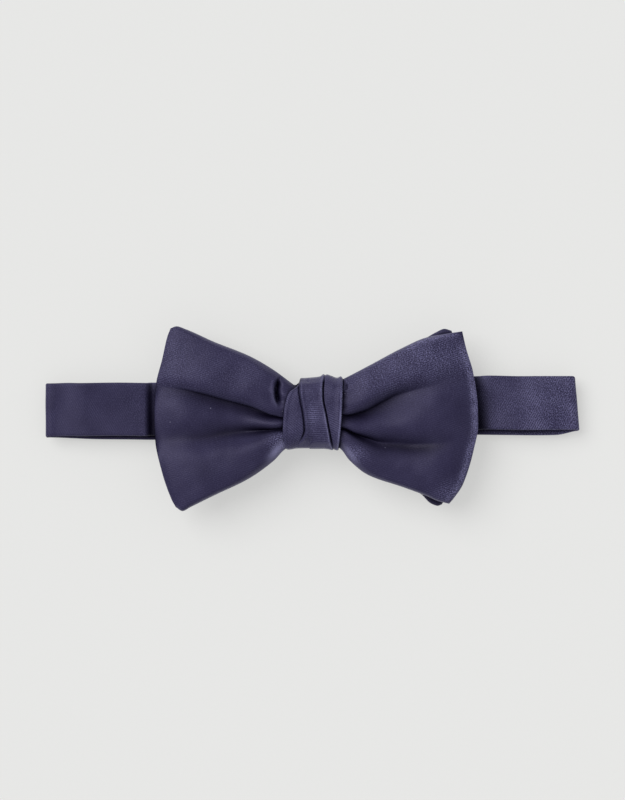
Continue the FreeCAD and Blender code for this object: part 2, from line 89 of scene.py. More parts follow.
def crowd(count, pull, both=True):
    """Shares from 0 to 1 that crowd towards 1, or towards both ends."""
    even = np.linspace(0, 1, count)
    eased = 0.5 - 0.5 * np.cos(np.pi * even) if both else np.sin(np.pi / 2 * even)
    return (1 - pull) * even + pull * eased


def distance_to(line, points):
    """Distance from each point to the nearest place on a line, both in plan."""
    starts, runs = line[:-1], np.diff(line, axis=0)
    lengths = (runs**2).sum(1) + 1e-12
    nearest = np.full(len(points), np.inf)
    for start, run, length in zip(starts, runs, lengths):
        away = points - start
        share = np.clip((away @ run) / length, 0, 1)
        nearest = np.minimum(nearest, ((away - share[:, None] * run) ** 2).sum(1))
    return np.sqrt(nearest)


def round_over(distance, radius):
    """Rises from 0 at an edge to 1 at one radius from it, as a quarter circle does."""
    share = np.clip(distance / radius, 0, 1)
    return np.sqrt(1 - (1 - share) ** 2)


def hump(value, middle, width):
    """1 at the middle, falling smoothly towards 0 on both sides of it."""
    return np.exp(-(((value - middle) / width) ** 2))


def ripple(x, y, size, seed):
    """Slow, repeatable unevenness between about -1 and 1."""
    waves = np.random.default_rng(seed)
    total = np.zeros(np.shape(x))
    for _ in range(6):
        turn = waves.uniform(0, 2 * np.pi)
        scale = waves.uniform(0.6, 1.6) * 2 * np.pi / size
        total = total + np.sin(scale * (x * np.cos(turn) + y * np.sin(turn)) + waves.uniform(0, 6.3))
    return total / 3


# ---------------- mesh helpers


def make_object(name, vertices, faces, uv=None, painted_highlight=0.3, shade=0.0, merge=True):
    """A smooth mesh object from places in millimetres. uv holds one pair in millimetres for each vertex.
    Of the two marks, the first is how much painted highlight and glint the satin takes, and the second
    how much painted shade deepens its colour, with painted highlight below 0. Each is one number,
    or one for each vertex."""
    mesh = bpy.data.meshes.new(name)
    mesh.from_pydata((np.asarray(vertices) * MM).tolist(), [], [list(map(int, face)) for face in faces])
    if uv is not None:
        layer = mesh.uv_layers.new(name="cloth")
        corners = np.zeros(len(mesh.loops), int)
        mesh.loops.foreach_get("vertex_index", corners)
        layer.data.foreach_set("uv", np.asarray(uv, float)[corners].ravel())
        for mark, amount in (("painted_highlight", painted_highlight), ("shade", shade)):
            values = np.broadcast_to(amount, len(vertices)).astype(np.float32)
            mesh.attributes.new(mark, "FLOAT", "POINT").data.foreach_set("value", values.ravel())
    work = bmesh.new()
    work.from_mesh(mesh)
    if merge:
        bmesh.ops.remove_doubles(work, verts=work.verts, dist=1e-6)
        bmesh.ops.dissolve_degenerate(work, edges=work.edges, dist=1e-7)
    bmesh.ops.recalc_face_normals(work, faces=work.faces)
    work.to_mesh(mesh)
    work.free()
    mesh.shade_smooth()
    mesh.set_sharp_from_angle(angle=math.radians(60))
    item = bpy.data.objects.new(name, mesh)
    bpy.context.scene.collection.objects.link(item)
    return item


def loft_faces(rows, row_length, closed_rows=False):
    """Faces between rows of vertices that are closed loops; closed_rows joins the last row to the first."""
    faces = []
    for i in range(rows if closed_rows else rows - 1):
        here, there = i * row_length, (i + 1) % rows * row_length
        for j in range(row_length):
            k = (j + 1) % row_length
            faces.append((here + j, there + j, there + k, here + k))
    return faces


def there_and_back(upper, lower):
    """Each row out along the upper side and back along the lower side, as one closed loop."""
    return np.concatenate([upper, lower[:, -2:0:-1]], axis=1)


def capped_faces(rows, row_length):
    """Faces of a tube of closed loops, with one many-sided face over each end."""
    last = (rows - 1) * row_length
    ends = [list(range(first, first + row_length)) for first in (0, last)]
    return loft_faces(rows, row_length) + ends


def dress(item, material):
    """The item with one material, in a named slot."""
    item.data.materials.clear()
    item.data.materials.append(material)
    return item


# ---------------- materials


class Nodes:
    """A short way to add and join shader nodes."""

    def __init__(self, name):
        self.material = bpy.data.materials.new(name)
        self.material.use_nodes = True
        self.tree = self.material.node_tree
        self.shader = self.tree.nodes["Principled BSDF"]

    def add(self, kind, inputs=(), **settings):
        node = self.tree.nodes.new(f"ShaderNode{kind}")
        for name, value in settings.items():
            setattr(node, name, value)
        for name, value in dict(inputs).items():
            self.feed(node, name, value)
        return node

    def feed(self, node, name, value):
        if isinstance(value, bpy.types.NodeSocket):
            self.tree.links.new(value, node.inputs[name])
        else:
            node.inputs[name].default_value = value

    def maths(self, operation, first, second=0.0):
        node = self.add("Math", operation=operation)
        self.feed(node, 0, first)
        self.feed(node, 1, second)
        return node.outputs[0]

    def times(self, first, second):
        return self.maths("MULTIPLY", first, second)

    def plus(self, first, second):
        return self.maths("ADD", first, second)

    def blend(self, share, first, second):
        """The first colour where share is 0 and the second where it is 1."""
        node = self.add("Mix", data_type="RGBA")
        self.feed(node, 0, share)
        self.feed(node, 6, first)
        self.feed(node, 7, second)
        return node.outputs[2]

    def step(self, value, low, high):
        """0 where the value is low and 1 where it is high, held between them."""
        node = self.add("MapRange", {"Value": value, "From Min": low, "From Max": high}, clamp=True)
        return node.outputs[0]

    def noise(self, vector, scale, detail=2.0):
        return self.add("TexNoise", {"Vector": vector, "Scale": scale, "Detail": detail}).outputs["Fac"]

    def mapped(self, vector, scale=(1, 1, 1), rotation=(0, 0, 0)):
        inputs = {"Vector": vector, "Scale": scale, "Rotation": rotation}
        return self.add("Mapping", inputs).outputs["Vector"]

    def finish(self, colour, roughness, height, strength, distance):
        """Feeds the shader its colour, its roughness and a bump from height, and gives the material."""
        bump = self.add("Bump", {"Height": height, "Strength": strength, "Distance": distance})
        self.feed(self.shader, "Base Color", colour)
        self.feed(self.shader, "Roughness", roughness)
        self.feed(self.shader, "Normal", bump.outputs["Normal"])
        return self.material


SATIN_DEEP = (0.0160, 0.0132, 0.039, 1)
SATIN_BASE = (0.0210, 0.0174, 0.049, 1)
# Painted highlight and painted glint tones; the lit tone also lightens the yarn texture.
SATIN_LIT = (0.035, 0.0315, 0.078, 1)
SATIN_SPARK = (0.175, 0.165, 0.310, 1)
# Painted shade tone, also used for painted dark specks between glints.
SATIN_PAINTED_SHADE = (0.004, 0.003, 0.010, 1)
# Painted highlight tone, then painted sheen tone for rims seen edge-on.
SATIN_PAINTED_HIGHLIGHT = (0.25, 0.24, 0.41, 1)
SATIN_PAINTED_RIM_SHEEN = (0.090, 0.084, 0.165, 1)
LINT = (0.34, 0.33, 0.46, 1)


def satin_material(name, twill_turn, contrast, ribs):
    """Deep purple-blue satin: a fine twill, a grain with painted glints and faint mottling, with painted
    sheen on rims seen edge-on, painted highlight and painted shade.
    """
    n = Nodes(name)
    cloth = n.add("UVMap", uv_map="cloth").outputs["UV"]
    # Vertex marks: painted highlight, and painted shade that turns to painted highlight below 0.
    painted_highlight = n.add("Attribute", attribute_name="painted_highlight").outputs["Fac"]
    shade = n.add("Attribute", attribute_name="shade").outputs["Fac"]
    turned = n.mapped(cloth, rotation=(0, 0, math.radians(twill_turn)))
    wave = {"Vector": turned, "Scale": 0.42, "Distortion": 1.2, "Detail": 1.0, "Detail Scale": 1.5}
    # Twill ribs shown in painted sparkle, in patches, stronger where the painted highlight mark is.
    patchy = n.times(n.step(n.noise(cloth, 0.12), 0.30, 0.70), n.plus(painted_highlight, 0.1))
    lines = n.times(n.add("TexWave", wave).outputs["Fac"], patchy)
    yarn = n.noise(n.mapped(turned, scale=(2.8, 1.3, 1)), 1.0, 2.0)
    grain = n.noise(n.mapped(turned, scale=(3.0, 2.0, 1)), 1.0, 1.0)
    mottle = n.noise(cloth, 0.08, 4.0)
    # Painted glints in the grain and painted dark specks between them, where the painted highlight mark is.
    glint = n.times(n.step(grain, 0.50, 0.74), painted_highlight)
    hollow = n.times(n.step(grain, 0.48, 0.30), painted_highlight)
    # Ambient occlusion, used below to paint shade into creases and to dim the specular there.
    open_to_light = n.step(n.add("AmbientOcclusion", {"Distance": 0.012}).outputs["AO"], 0.36, 0.84)
    # Surfaces seen edge-on, which take painted rim sheen.
    edge_on = n.step(n.add("LayerWeight", {"Blend": 0.5}).outputs["Facing"], 0.20, 0.95)
    specks = n.add("TexVoronoi", {"Vector": cloth, "Scale": 0.16, "Randomness": 1.0}).outputs["Distance"]

    tone = n.blend(n.step(mottle, 0.35, 0.65), SATIN_DEEP, SATIN_BASE)
    # Painted highlight from the mark, then the twill ribs in painted sparkle.
    tone = n.blend(n.times(painted_highlight, 0.45), tone, SATIN_LIT)
    tone = n.blend(n.times(lines, ribs), tone, SATIN_SPARK)
    tone = n.blend(n.times(n.step(yarn, 0.45, 0.75), 0.25), tone, SATIN_LIT)
    # Painted dark specks and painted glints in the grain, then painted sheen on edge-on rims.
    tone = n.blend(n.times(hollow, contrast), tone, SATIN_PAINTED_SHADE)
    tone = n.blend(n.times(glint, contrast), tone, SATIN_SPARK)
    tone = n.blend(n.times(edge_on, n.times(open_to_light, 0.8)), tone, SATIN_PAINTED_RIM_SHEEN)
    tone = n.blend(n.times(n.step(specks, 0.040, 0.022), 0.6), tone, LINT)
    # Painted highlight where the shade mark falls below 0, then painted shade where it rises towards 1 and in
    # creases found by ambient occlusion.
    tone = n.blend(n.step(shade, 0.0, -1.0), tone, SATIN_PAINTED_HIGHLIGHT)
    tone = n.blend(n.times(open_to_light, n.step(shade, 1.0, 0.0)), SATIN_PAINTED_SHADE, tone)

    height = n.plus(n.times(lines, 1.2), n.plus(yarn, grain))
    n.feed(n.shader, "Specular IOR Level", n.times(open_to_light, 0.26))
    n.feed(n.shader, "Specular Tint", (0.74, 0.70, 1.0, 1))
    n.feed(n.shader, "Anisotropic", 0.35)
    return n.finish(tone, n.plus(0.34, n.times(yarn, 0.2)), height, 0.6, 0.00014)


def interlining_material():
    """Matt off-white plain weave."""
    n = Nodes("interlining")
    place = n.add("TexCoord").outputs["Object"]
    warp = n.add("TexWave", {"Vector": place, "Scale": 300.0}, bands_direction="X").outputs["Fac"]
    weft = n.add("TexWave", {"Vector": place, "Scale": 300.0}, bands_direction="Y").outputs["Fac"]
    weave = n.times(warp, weft)
    tone = n.blend(weave, (0.50, 0.48, 0.42, 1), (0.66, 0.64, 0.58, 1))
    return n.finish(tone, 0.95, weave, 0.5, 0.0001)


def thread_material():
    """Twisted sewing thread, a shade darker than the satin."""
    n = Nodes("thread")
    place = n.add("TexCoord").outputs["Object"]
    turned = n.mapped(place, rotation=(0.5, 0.6, 0.7))
    twist = n.add("TexWave", {"Vector": turned, "Scale": 700.0, "Distortion": 0.5}).outputs["Fac"]
    tone = n.blend(twist, (0.018, 0.016, 0.038, 1), (0.050, 0.046, 0.095, 1))
    n.feed(n.shader, "Sheen Weight", 0.3)
    return n.finish(tone, 0.5, twist, 0.8, 0.0001)


def steel_material():
    """Nickel plate with fine brushing, small pits and worn edges."""
    n = Nodes("steel")
    place = n.add("TexCoord").outputs["Object"]
    brushed = n.noise(n.mapped(place, scale=(300, 4000, 1200)), 1.0, 3.0)
    cloudy = n.noise(place, 260.0, 4.0)
    worn = n.step(n.add("NewGeometry").outputs["Pointiness"], 0.51, 0.56)
    tone = n.blend(cloudy, (0.46, 0.46, 0.47, 1), (0.62, 0.61, 0.60, 1))
    tone = n.blend(n.times(worn, 0.5), tone, (0.74, 0.71, 0.64, 1))
    n.feed(n.shader, "Metallic", 1.0)
    return n.finish(tone, n.plus(0.22, n.times(brushed, 0.2)), n.plus(brushed, cloudy), 0.25, 0.00005)


def floor_material():
    """Plain pale paper lit from beneath, as a light table is, so shadows on it stay pale."""
    n = Nodes("paper")
    place = n.add("TexCoord").outputs["Object"]
    grain = n.noise(place, 900.0, 3.0)
    tone = n.blend(grain, (0.305, 0.305, 0.300, 1), (0.315, 0.315, 0.310, 1))
    n.feed(n.shader, "Emission Color", (1, 1, 0.982, 1))
    n.feed(n.shader, "Emission Strength", 0.49)
    n.feed(n.shader, "Specular IOR Level", 0.1)
    return n.finish(tone, 0.9, grain, 0.05, 0.0001)


# Each satin: how far its twill is turned, how strong its painted glints are and how strong its painted rib
# sheen is.
WING_SATIN = satin_material("satin_wing", 70, 1.15, 0.5)
KNOT_SATIN = satin_material("satin_knot", 0, 0.75, 0.8)
BAND_SATIN = satin_material("satin_band", 30, 0.8, 0.5)
INTERLINING = interlining_material()
THREAD = thread_material()
STEEL = steel_material()


# ---------------- bow: outlines

FRONT_LEFT = {
    "high": [
        (-4, 8), (-6.9, 10.1), (-15.1, 16.1), (-23.4, 20.8), (-36.8, 26.2), (-46.9, 30.7),
        (-50.4, 31.8), (-52.6, 31.0),
    ],
    "low": [
        (-4, -11.4), (-9.8, -13.6), (-14.5, -18.2), (-23.4, -24.6), (-36.8, -31.1), (-45.1, -35.2),
        (-48.2, -36.7), (-50.7, -35.2),
    ],
    "end": [
        (-50.7, -35.2), (-52.2, -32.5), (-55.9, -21.8), (-58.3, -10.2), (-58.6, -1.1), (-58.0, 10),
        (-55.7, 19.6), (-53.8, 27.9), (-52.6, 31.0),
    ],
}
FRONT_RIGHT = {
    "high": [(4, 9), (11.2, 12.2), (20.5, 17.0), (33.9, 24.1), (42.0, 27.6), (48.5, 28.9), (55.5, 29.9)],
    "low": [
        (4, -11.4), (10.0, -13.4), (13.8, -18.0), (20.5, -23.3), (33.9, -28.0), (42.0, -31.0),
        (46.5, -33.0), (50.6, -34.0),
    ],
    "end": [
        (50.6, -34.0), (52.2, -32.2), (55.9, -26.5), (59.9, -13.4), (61.4, -5), (61.3, 1.5),
        (59.6, 14.4), (56.9, 23.8), (55.5, 29.9),
    ],
}
REAR_LEFT = {
    "high": [(-4, 8), (-11, 11.6), (-24, 19.2), (-38, 25.2), (-49.0, 29.0)],
    "low": [(-4, -9.5), (-11, -12.6), (-24, -22.4), (-38, -29.2), (-46.5, -33.4)],
    "end": [(-46.5, -33.4), (-51.5, -22), (-54.6, -6), (-54.4, 10), (-49.0, 29.0)],
}
REAR_RIGHT = {
    "high": [
        (4, 8), (11, 10.4), (21, 15.6), (34, 22.6), (42, 27.4), (45.8, 29.6), (49.0, 30.9),
        (51.6, 30.2),
    ],
    "low": [
        (4, -9.5), (11, -13.0), (21, -21.4), (34, -26.8), (40.4, -30.6), (44.0, -34.0), (46.6, -34.9),
        (48.2, -34.3),
    ],
    "end": [(48.2, -34.3), (53.0, -24), (57.0, -8), (56.8, 8), (54.4, 22), (51.6, 30.2)],
}

WING_COLUMNS = 190
WAIST_COLUMNS = 12


def fill(wing):
    """A grid of places between a wing's four edges: columns run outwards, rows run from low to high."""
    out, up = crowd(WING_COLUMNS, 0.8, both=False), np.linspace(0, 1, 160)
    low, high, end = trace(wing["low"], out), trace(wing["high"], out), trace(wing["end"], up)
    start = low[0] + up[:, None] * (high[0] - low[0])
    s, t = out[:, None, None], up[None, :, None]
    ruled = (1 - t) * low[:, None] + t * high[:, None]
    across = (1 - s) * start[None] + s * end[None]
    corners = (1 - s) * start[None] + s * ((1 - t) * low[-1] + t * high[-1])
    return np.array([follow_pleats(column) for column in ruled + across - corners])


def follow_pleats(column):
    """The same column with a row on each pleat line, and rows crowded beside the lines and the rims."""
    shares = np.linspace(0, 1, len(column))
    length = np.r_[0, np.cumsum(np.linalg.norm(np.diff(column, axis=0), axis=1))]
    length /= length[-1]
    stops = [0.0]
    for pleat in side_pleats(column[0, 0]):
        above = column[:, 1] - through(pleat["line"], column[:, 0])
        crossing = np.interp(0, above, length)
        stops.append(min(max(crossing, stops[-1] + 0.12), 0.85))
    stops.append(1.0)
    parts = []
    for low, high, count in zip(stops, stops[1:], ROWS_BETWEEN):
        parts.append(low + (high - low) * crowd(count + 1, 0.75)[:-1])
    wanted = np.r_[np.concatenate(parts), 1.0]
    at = np.interp(wanted, length, shares)
    return np.stack([np.interp(at, shares, axis) for axis in column.T], 1)


def side_pleats(x):
    """The two pleats of one wing, the lower one first."""
    return [pleat for pleat in PLEATS if same_side(pleat, x)]


def bow_plan(left, right):
    """The plan of a whole layer, from the left wing's end through the waist to the right wing's end."""
    left_grid, right_grid = fill(left)[::-1], fill(right)
    share = np.linspace(0, 1, WAIST_COLUMNS)[1:-1, None, None]
    waist = left_grid[-1] * (1 - share) + right_grid[0] * share
    return np.concatenate([left_grid, waist, right_grid])


# ---------------- bow: pleats and heights

# Each pleat: places on its line, its depth along it, the width of the walls above and below it,
# how rounded its floor is along it and at least below it, how far the upper wall's lip hangs over it, and how
# much painted shade darkens the satin along it, with how far below the line that is centred and how far it
# reaches above and below.
PLEATS = [
    {
        "line": [
            (-58, -9.8), (-50.2, -9.7), (-41, -9.3), (-32.4, -7.9), (-24, -7.1), (-16.7, -6.7),
            (-9, -6.2), (-4, -6),
        ],
        "depth": [
            (-58, 1.2), (-50, 3.0), (-40, 4.6), (-31, 6.2), (-25, 7.0), (-19, 5.6), (-14, 2.8),
            (-10, 1.4), (-6, 1),
        ],
        "above": 3.4,
        "below": 2.8,
        "round": [(-58, 1.8), (-42, 1.2), (-30, 0.6), (-20, 0.2), (-4, 0.1)],
        "shelf": 0.6,
        "lip": 0.3,
        "shade": [(-58, 0.05), (-50, 0.36), (-40, 0.58), (-31, 0.82), (-22, 0.75), (-16, 0.45), (-11, 0.0)],
        "shade_drop": 0.0,
        "shade_above": 2.4,
        "shade_below": 1.9,
    },
    {
        "line": [
            (-58, 9.6), (-50.2, 8.7), (-41.3, 6.9), (-32.4, 4.4), (-23.4, 2.1), (-14.5, -1.1),
            (-9, -2.4), (-4, -2.8),
        ],
        "depth": [
            (-58, 1.0), (-53, 2.2), (-48, 3.4), (-42, 5.0), (-34, 6.6), (-24, 7.6), (-18, 5.4),
            (-13, 2.4), (-9, 1.3), (-6, 1),
        ],
        "above": 1.4,
        "below": 3.6,
        "round": [(-58, 1.3), (-49, 0.7), (-42, 0.15), (-4, 0.05)],
        "shelf": 1.1,
        "lip": 0.6,
        "shade": [(-58, 0.1), (-53, 0.40), (-46, 0.58), (-36, 0.60), (-24, 0.45), (-16, 0.15), (-11, 0.0)],
        "shade_drop": 0.0,
        "shade_above": 0.3,
        "shade_below": 3.3,
    },
    {
        "line": [
            (4, -5.4), (9, -5.6), (11.5, -6.1), (15.9, -8.2), (20.5, -9.9), (24.9, -11.2), (31, -11.6),
            (38, -11.9), (48, -11.5), (60, -10),
        ],
        "depth": [
            (6, 1.0), (10, 1.8), (14, 3.6), (19, 6.0), (26, 7.4), (33, 6.8), (40, 4.8), (46, 2.8),
            (52, 1.3), (58, 0.5),
        ],
        "above": 2.5,
        "below": 3.0,
        "round": [(4, 0.05), (18, 0.3), (28, 0.6), (40, 0.9), (56, 1.4)],
        "shelf": 0.9,
        "lip": 0.4,
        "shade": [
            (6, 0.0), (14, 0.15), (22, 0.5), (30, 0.85), (36, 1.0), (42, 0.95), (47, 0.5), (51, 0.15),
            (57, 0.0),
        ],
        "shade_drop": 0.8,
        "shade_above": 1.3,
        "shade_below": 2.6,
    },
    {
        "line": [
            (4, -0.9), (9, -0.9), (11.5, -1.1), (18.2, 0.0), (24.9, 3.0), (31.6, 6.3), (38.3, 8.2),
            (45, 9.8), (51.7, 12.0), (60, 13),
        ],
        "depth": [
            (6, 1.0), (10, 1.8), (14, 4.0), (19, 6.6), (25, 7.4), (31, 6.6), (38, 4.6), (44, 2.8),
            (50, 1.6), (58, 0.6),
        ],
        "above": 2.3,
        "below": 4.6,
        "round": [(4, 0.05), (22, 0.1), (32, 0.5), (42, 1.2), (57, 1.6)],
        "shelf": 1.4,
        "lip": 0.45,
        "shade": [
            (6, 0.0), (13, 0.05), (20, 0.35), (30, 0.48), (38, 0.35), (45, 0.20), (54, 0.1), (58, 0.0),
        ],
        "shade_drop": 0.0,
        "shade_above": 1.6,
        "shade_below": 3.0,
    },
]
ROWS_BETWEEN = ((44, 38, 52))
VALLEY_LIMIT = 8.4
PINCH_START, PINCH_END, PINCH_SHARE = 9.0, 32.0, 0.22


def same_side(pleat, x):
    """True at each place that is on the pleat's side of the knot."""
    return (x < 0) == (pleat["line"][0][0] < 0)


def wall_width(pleat, x, offset):
    """How wide the wall on this side of the pleat is. Both walls draw in towards the knot."""
    narrow = PINCH_SHARE + (1 - PINCH_SHARE) * ramp(PINCH_START, PINCH_END, np.abs(x))
    return np.where(offset > 0, pleat["above"], pleat["below"]) * narrow


def pleat_depth(x, y):
    """How far the pleats sink the face at each place in plan."""
    total = np.zeros(np.shape(x))
    for pleat in PLEATS:
        here = same_side(pleat, x)
        offset = y - through(pleat["line"], x)
        away = np.abs(offset) / wall_width(pleat, x, offset)
        rounding = through(pleat["round"], x)
        soft = np.where(offset < 0, np.maximum(rounding, pleat["shelf"]), rounding)
        deep = np.clip(through(pleat["depth"], x), 0, None)
        total += np.where(here, deep * np.exp(soft - np.sqrt(away**2 + soft**2)), 0)
    return VALLEY_LIMIT * np.tanh(total / VALLEY_LIMIT)


def pleat_shade(x, y):
    """How much painted shade darkens the satin in and beside the pleats."""
    total = np.zeros(np.shape(x))
    for pleat in PLEATS:
        here = same_side(pleat, x)
        offset = y - through(pleat["line"], x) + pleat["shade_drop"]
        reach = np.where(offset > 0, pleat["shade_above"], pleat["shade_below"])
        total += np.where(here, through(pleat["shade"], x) * np.exp(-np.abs(offset / reach) ** 1.5), 0)
    return total


def lip_shift(x, y):
    """How far the face is pushed down the page beside a pleat, so that its upper wall hangs over it."""
    shift = np.zeros(np.shape(x))
    for pleat in PLEATS:
        here = same_side(pleat, x)
        offset = y - through(pleat["line"], x)
        away = np.clip(offset / wall_width(pleat, x, offset), 0, 3)
        strength = pleat["lip"] * np.clip(through(pleat["depth"], x) / 4, 0, 1)
        shift += np.where(here, strength * 2.7 * away * np.exp(-away * 1.1), 0)
    return -shift


FRONT_FLOOR = 13.1
REAR_CEILING = 12.95
REAR_RIM = 11.9
LAYER_GAP = 0.15
CLOTH = 1.1

TUCK_LINE = [(2.5, -12.2), (5, -13.1), (8, -13.5), (11, -13.0), (13, -12.2)]
TUCK_MIDDLE_Y = 7.9
TUCK_DEPTH = 2.9
DENT_DEPTH = 0.8


def tuck_depth(x, y):
    """A small crescent tuck beside the top of the knot, steep on its outer side, with a ridge outside it.
    A dent sits on the other side of the knot."""
    off = x - through(TUCK_LINE, y)
    spread = np.where(off < 0, 0.6, 1.3)
    height = np.exp(-(np.abs((y - TUCK_MIDDLE_Y) / 4.6) ** 4))
    ridge = 0.6 * hump(off, -1.3, 0.8)
    dent = DENT_DEPTH * hump(x, 12.4, 0.5) * np.exp(-(((y - 9.6) / 1.2) ** 4))
    return (TUCK_DEPTH * np.exp(-np.abs(off / spread) ** 1.6) - ridge) * height + dent


def across_wing(x, y):
    """How far across its wing a place is, from -1 at the low edge to 1 at the high edge."""
    low = np.where(x < 0, through(FRONT_LEFT["low"][::-1], x), through(FRONT_RIGHT["low"], x))
    high = np.where(x < 0, through(FRONT_LEFT["high"][::-1], x), through(FRONT_RIGHT["high"], x))
    middle, half = (high + low) / 2, np.maximum((high - low) / 2, 1)
    return np.clip((y - middle) / half, -1, 1)


CREST = [(0, 3.4), (10, 4.3), (22, 5.5), (38, 5.2), (50, 4.0), (60, 2.2)]


def face_height(x, y):
    """How far the face stands above the rim of the front layer, before the pleats."""
    along = np.abs(x)
    crest = through(CREST, along)
    across = across_wing(x, y)
    slope = 1 - 0.52 * np.abs(across) ** 2.6
    gathers = 0.30 * np.exp(-np.clip(along - 10, 0, None) / 7) * np.sin(across * 17 + 1.3 * np.sign(x))
    return crest * slope + gathers + 0.16 * ripple(x, y, 26, 4) + 0.05 * ripple(x, y, 9, 9)


FRONT_RIM = 13.9


def front_top(x, y):
    """The height of the front layer's face, away from its rims."""
    return FRONT_RIM + face_height(x, y) - pleat_depth(x, y) - tuck_depth(x, y)


def front_underside(x, y):
    """The height of the front layer's lower side."""
    return np.minimum(FRONT_FLOOR, front_top(x, y) - CLOTH)


# Painted highlight on layers that are given none of their own.
PLAIN_PAINTED_HIGHLIGHT = 0.15


def closed_layer(name, plan, top, bottom, shift=None, painted_highlight=None, shade=None):
    """A closed mesh from a plan grid and the heights of its two sides, which meet all round the rim."""
    upper = np.dstack([plan, top])
    if shift is not None:
        upper[..., 1] += shift
    loops = there_and_back(upper, np.dstack([plan, bottom]))
    flat = there_and_back(plan, plan).reshape(-1, 2)
    # Painted highlight and painted shade for each vertex, from the given functions.
    glint = PLAIN_PAINTED_HIGHLIGHT if painted_highlight is None else painted_highlight(*flat.T)
    depth = 0.0 if shade is None else shade(*flat.T)
    return make_object(name, loops.reshape(-1, 3), loft_faces(len(plan), loops.shape[1]), flat, glint, depth)


def rim_lines(left, right):
    """The layer's long edges, its left end and its right end, each as one line in plan."""
    even = np.linspace(0, 1, 120)
    sides = [trace(wing[edge], even) for wing in (left, right) for edge in ("low", "high")]
    return sides, trace(left["end"], even), trace(right["end"], even)


def rim_rise(plan, left, right, side_radius, left_radius, right_radius):
    """How full the layer is: 0 on its rim and 1 away from it. Its sides are softer near the knot."""
    points = plan.reshape(-1, 2)
    sides, left_end, right_end = rim_lines(left, right)
    to_side = np.min([distance_to(line, points) for line in sides], axis=0)
    gathered = 1 + 1.3 * ramp(30, 12, np.abs(points[:, 0]))
    full = round_over(to_side, side_radius * gathered)
    full = full * round_over(distance_to(left_end, points), left_radius)
    full = full * round_over(distance_to(right_end, points), right_radius)
    return full.reshape(plan.shape[:2])


# Least and most painted highlight on the satin.
LEAST_PAINTED_HIGHLIGHT = 0.09
MOST_PAINTED_HIGHLIGHT = 1.5

# Painted highlights where the satin of the front catches the light: middle, reach along and across, amount.
PAINTED_HIGHLIGHTS = [
    (44, 21, 22, 8, 0.75),
    (24, 11, 14, 6, 0.35),
    (51, -30, 5, 4, 0.50),
    (15, -15.5, 4, 3, 0.90),
    (-12.5, -12.5, 3, 4, 1.40),
    (-52, 20, 9, 14, 0.30),
    (-30, 15, 14, 8, 0.20),
]


def end_rim(x, y):
    """The rolled rims of the right wing that catch the light: its cut end and half of its upper edge.
    They take painted highlight.
    """
    even = np.linspace(0, 1, 60)
    points = np.stack([x, y], -1)
    to_end = distance_to(trace(FRONT_RIGHT["end"], even), points)
    to_high = distance_to(trace(FRONT_RIGHT["high"], even), points)
    end = hump(to_end, 1.2, 1.3) * ramp(-36, -28, y) * ramp(28, 20, y)
    return end + 0.8 * ramp(30, 42, x) * ramp(56, 50, x) * hump(to_high, 0.8, 0.9)


def front_painted_highlight(x, y):
    """The painted highlight of the front's satin: the spots above and the rolled rims of the right wing."""
    total = np.full(np.shape(x), LEAST_PAINTED_HIGHLIGHT)
    for middle_x, middle_y, along, across, amount in PAINTED_HIGHLIGHTS:
        total += amount * hump(x, middle_x, along) * hump(y, middle_y, across)
    return np.clip(total + end_rim(x, y), 0, MOST_PAINTED_HIGHLIGHT)


def front_shade(x, y):
    """Painted shade on the front, in its pleats and its tuck, less painted highlight in the streaks where it
    is gathered into the knot and in the broken line along the right wing's rims."""
    off = x - through(TUCK_LINE, y)
    # Painted shade in the tuck, and painted highlight on its outer ridge.
    tuck = 0.15 * hump(off, 0.6, 0.9) * np.exp(-(((y - TUCK_MIDDLE_Y) / 4.4) ** 4))
    tuck -= 0.25 * hump(off, -1.1, 0.5) * np.exp(-(((y - 6.0) / 3.6) ** 4))
    # Painted highlight in glint streaks by the lower edges, close to the knot.
    gathered = 0.8 * streak(x, y, (-13.4, -14.4), 52, 4.0, 1.4)
    gathered += 0.4 * streak(x, y, (14.2, -15.6), -56, 3.6, 1.1)
    # Painted highlight in a broken line along the right wing's rolled rims.
    broken = 0.22 * (0.6 + 0.4 * ripple(x, y, 6, 14))
    return np.clip(pleat_shade(x, y) + tuck - gathered - broken * end_rim(x, y), -1, 0.85)


def streak(x, y, middle, turn, reach, width):
    """1 at the middle of a soft streak that lies turned by so many degrees, falling to 0 around it."""
    cosine, sine = np.cos(np.radians(turn)), np.sin(np.radians(turn))
    u, v = x - middle[0], y - middle[1]
    return hump(u * cosine + v * sine, 0, reach) * hump(v * cosine - u * sine, 0, width)


def front_layer():
    """The front of the bow: a folded loop on the left and a cut, sewn end on the right."""
    plan = bow_plan(FRONT_LEFT, FRONT_RIGHT)
    x, y = plan[..., 0], plan[..., 1]
    full = rim_rise(plan, FRONT_LEFT, FRONT_RIGHT, 1.5, 2.6, 1.8)
    loop_end = ramp(-44, -60, x)
    blade_end = ramp(44, 64, np.hypot(x, 0.22 * y))
    rim = FRONT_RIM + 0.5 * loop_end
    rise = front_top(x, y) - FRONT_RIM - 0.7 * loop_end - 2.0 * blade_end
    top = rim + full * rise
    floor = np.minimum(FRONT_FLOOR, top - CLOTH)
    bottom = rim + full * (floor - rim)
    return closed_layer("bow_front", plan, top, bottom, full * lip_shift(x, y), front_painted_highlight, front_shade)


def rear_shade(x, y):
    """Painted shadow on the back layer's low parts, which lie in the front's shadow."""
    return 0.45 * ramp(-20, -32, y)


def rear_droop(x, y):
    """The low tips of the back layer hang away from the front."""
    return 2.4 * ramp(32, 47, np.abs(x)) * ramp(-14, -31, y)


def rear_top(x, y):
    """The height of the back layer's upper side, close under the front."""
    return np.minimum(REAR_CEILING, front_underside(x, y) - LAYER_GAP) - rear_droop(x, y)


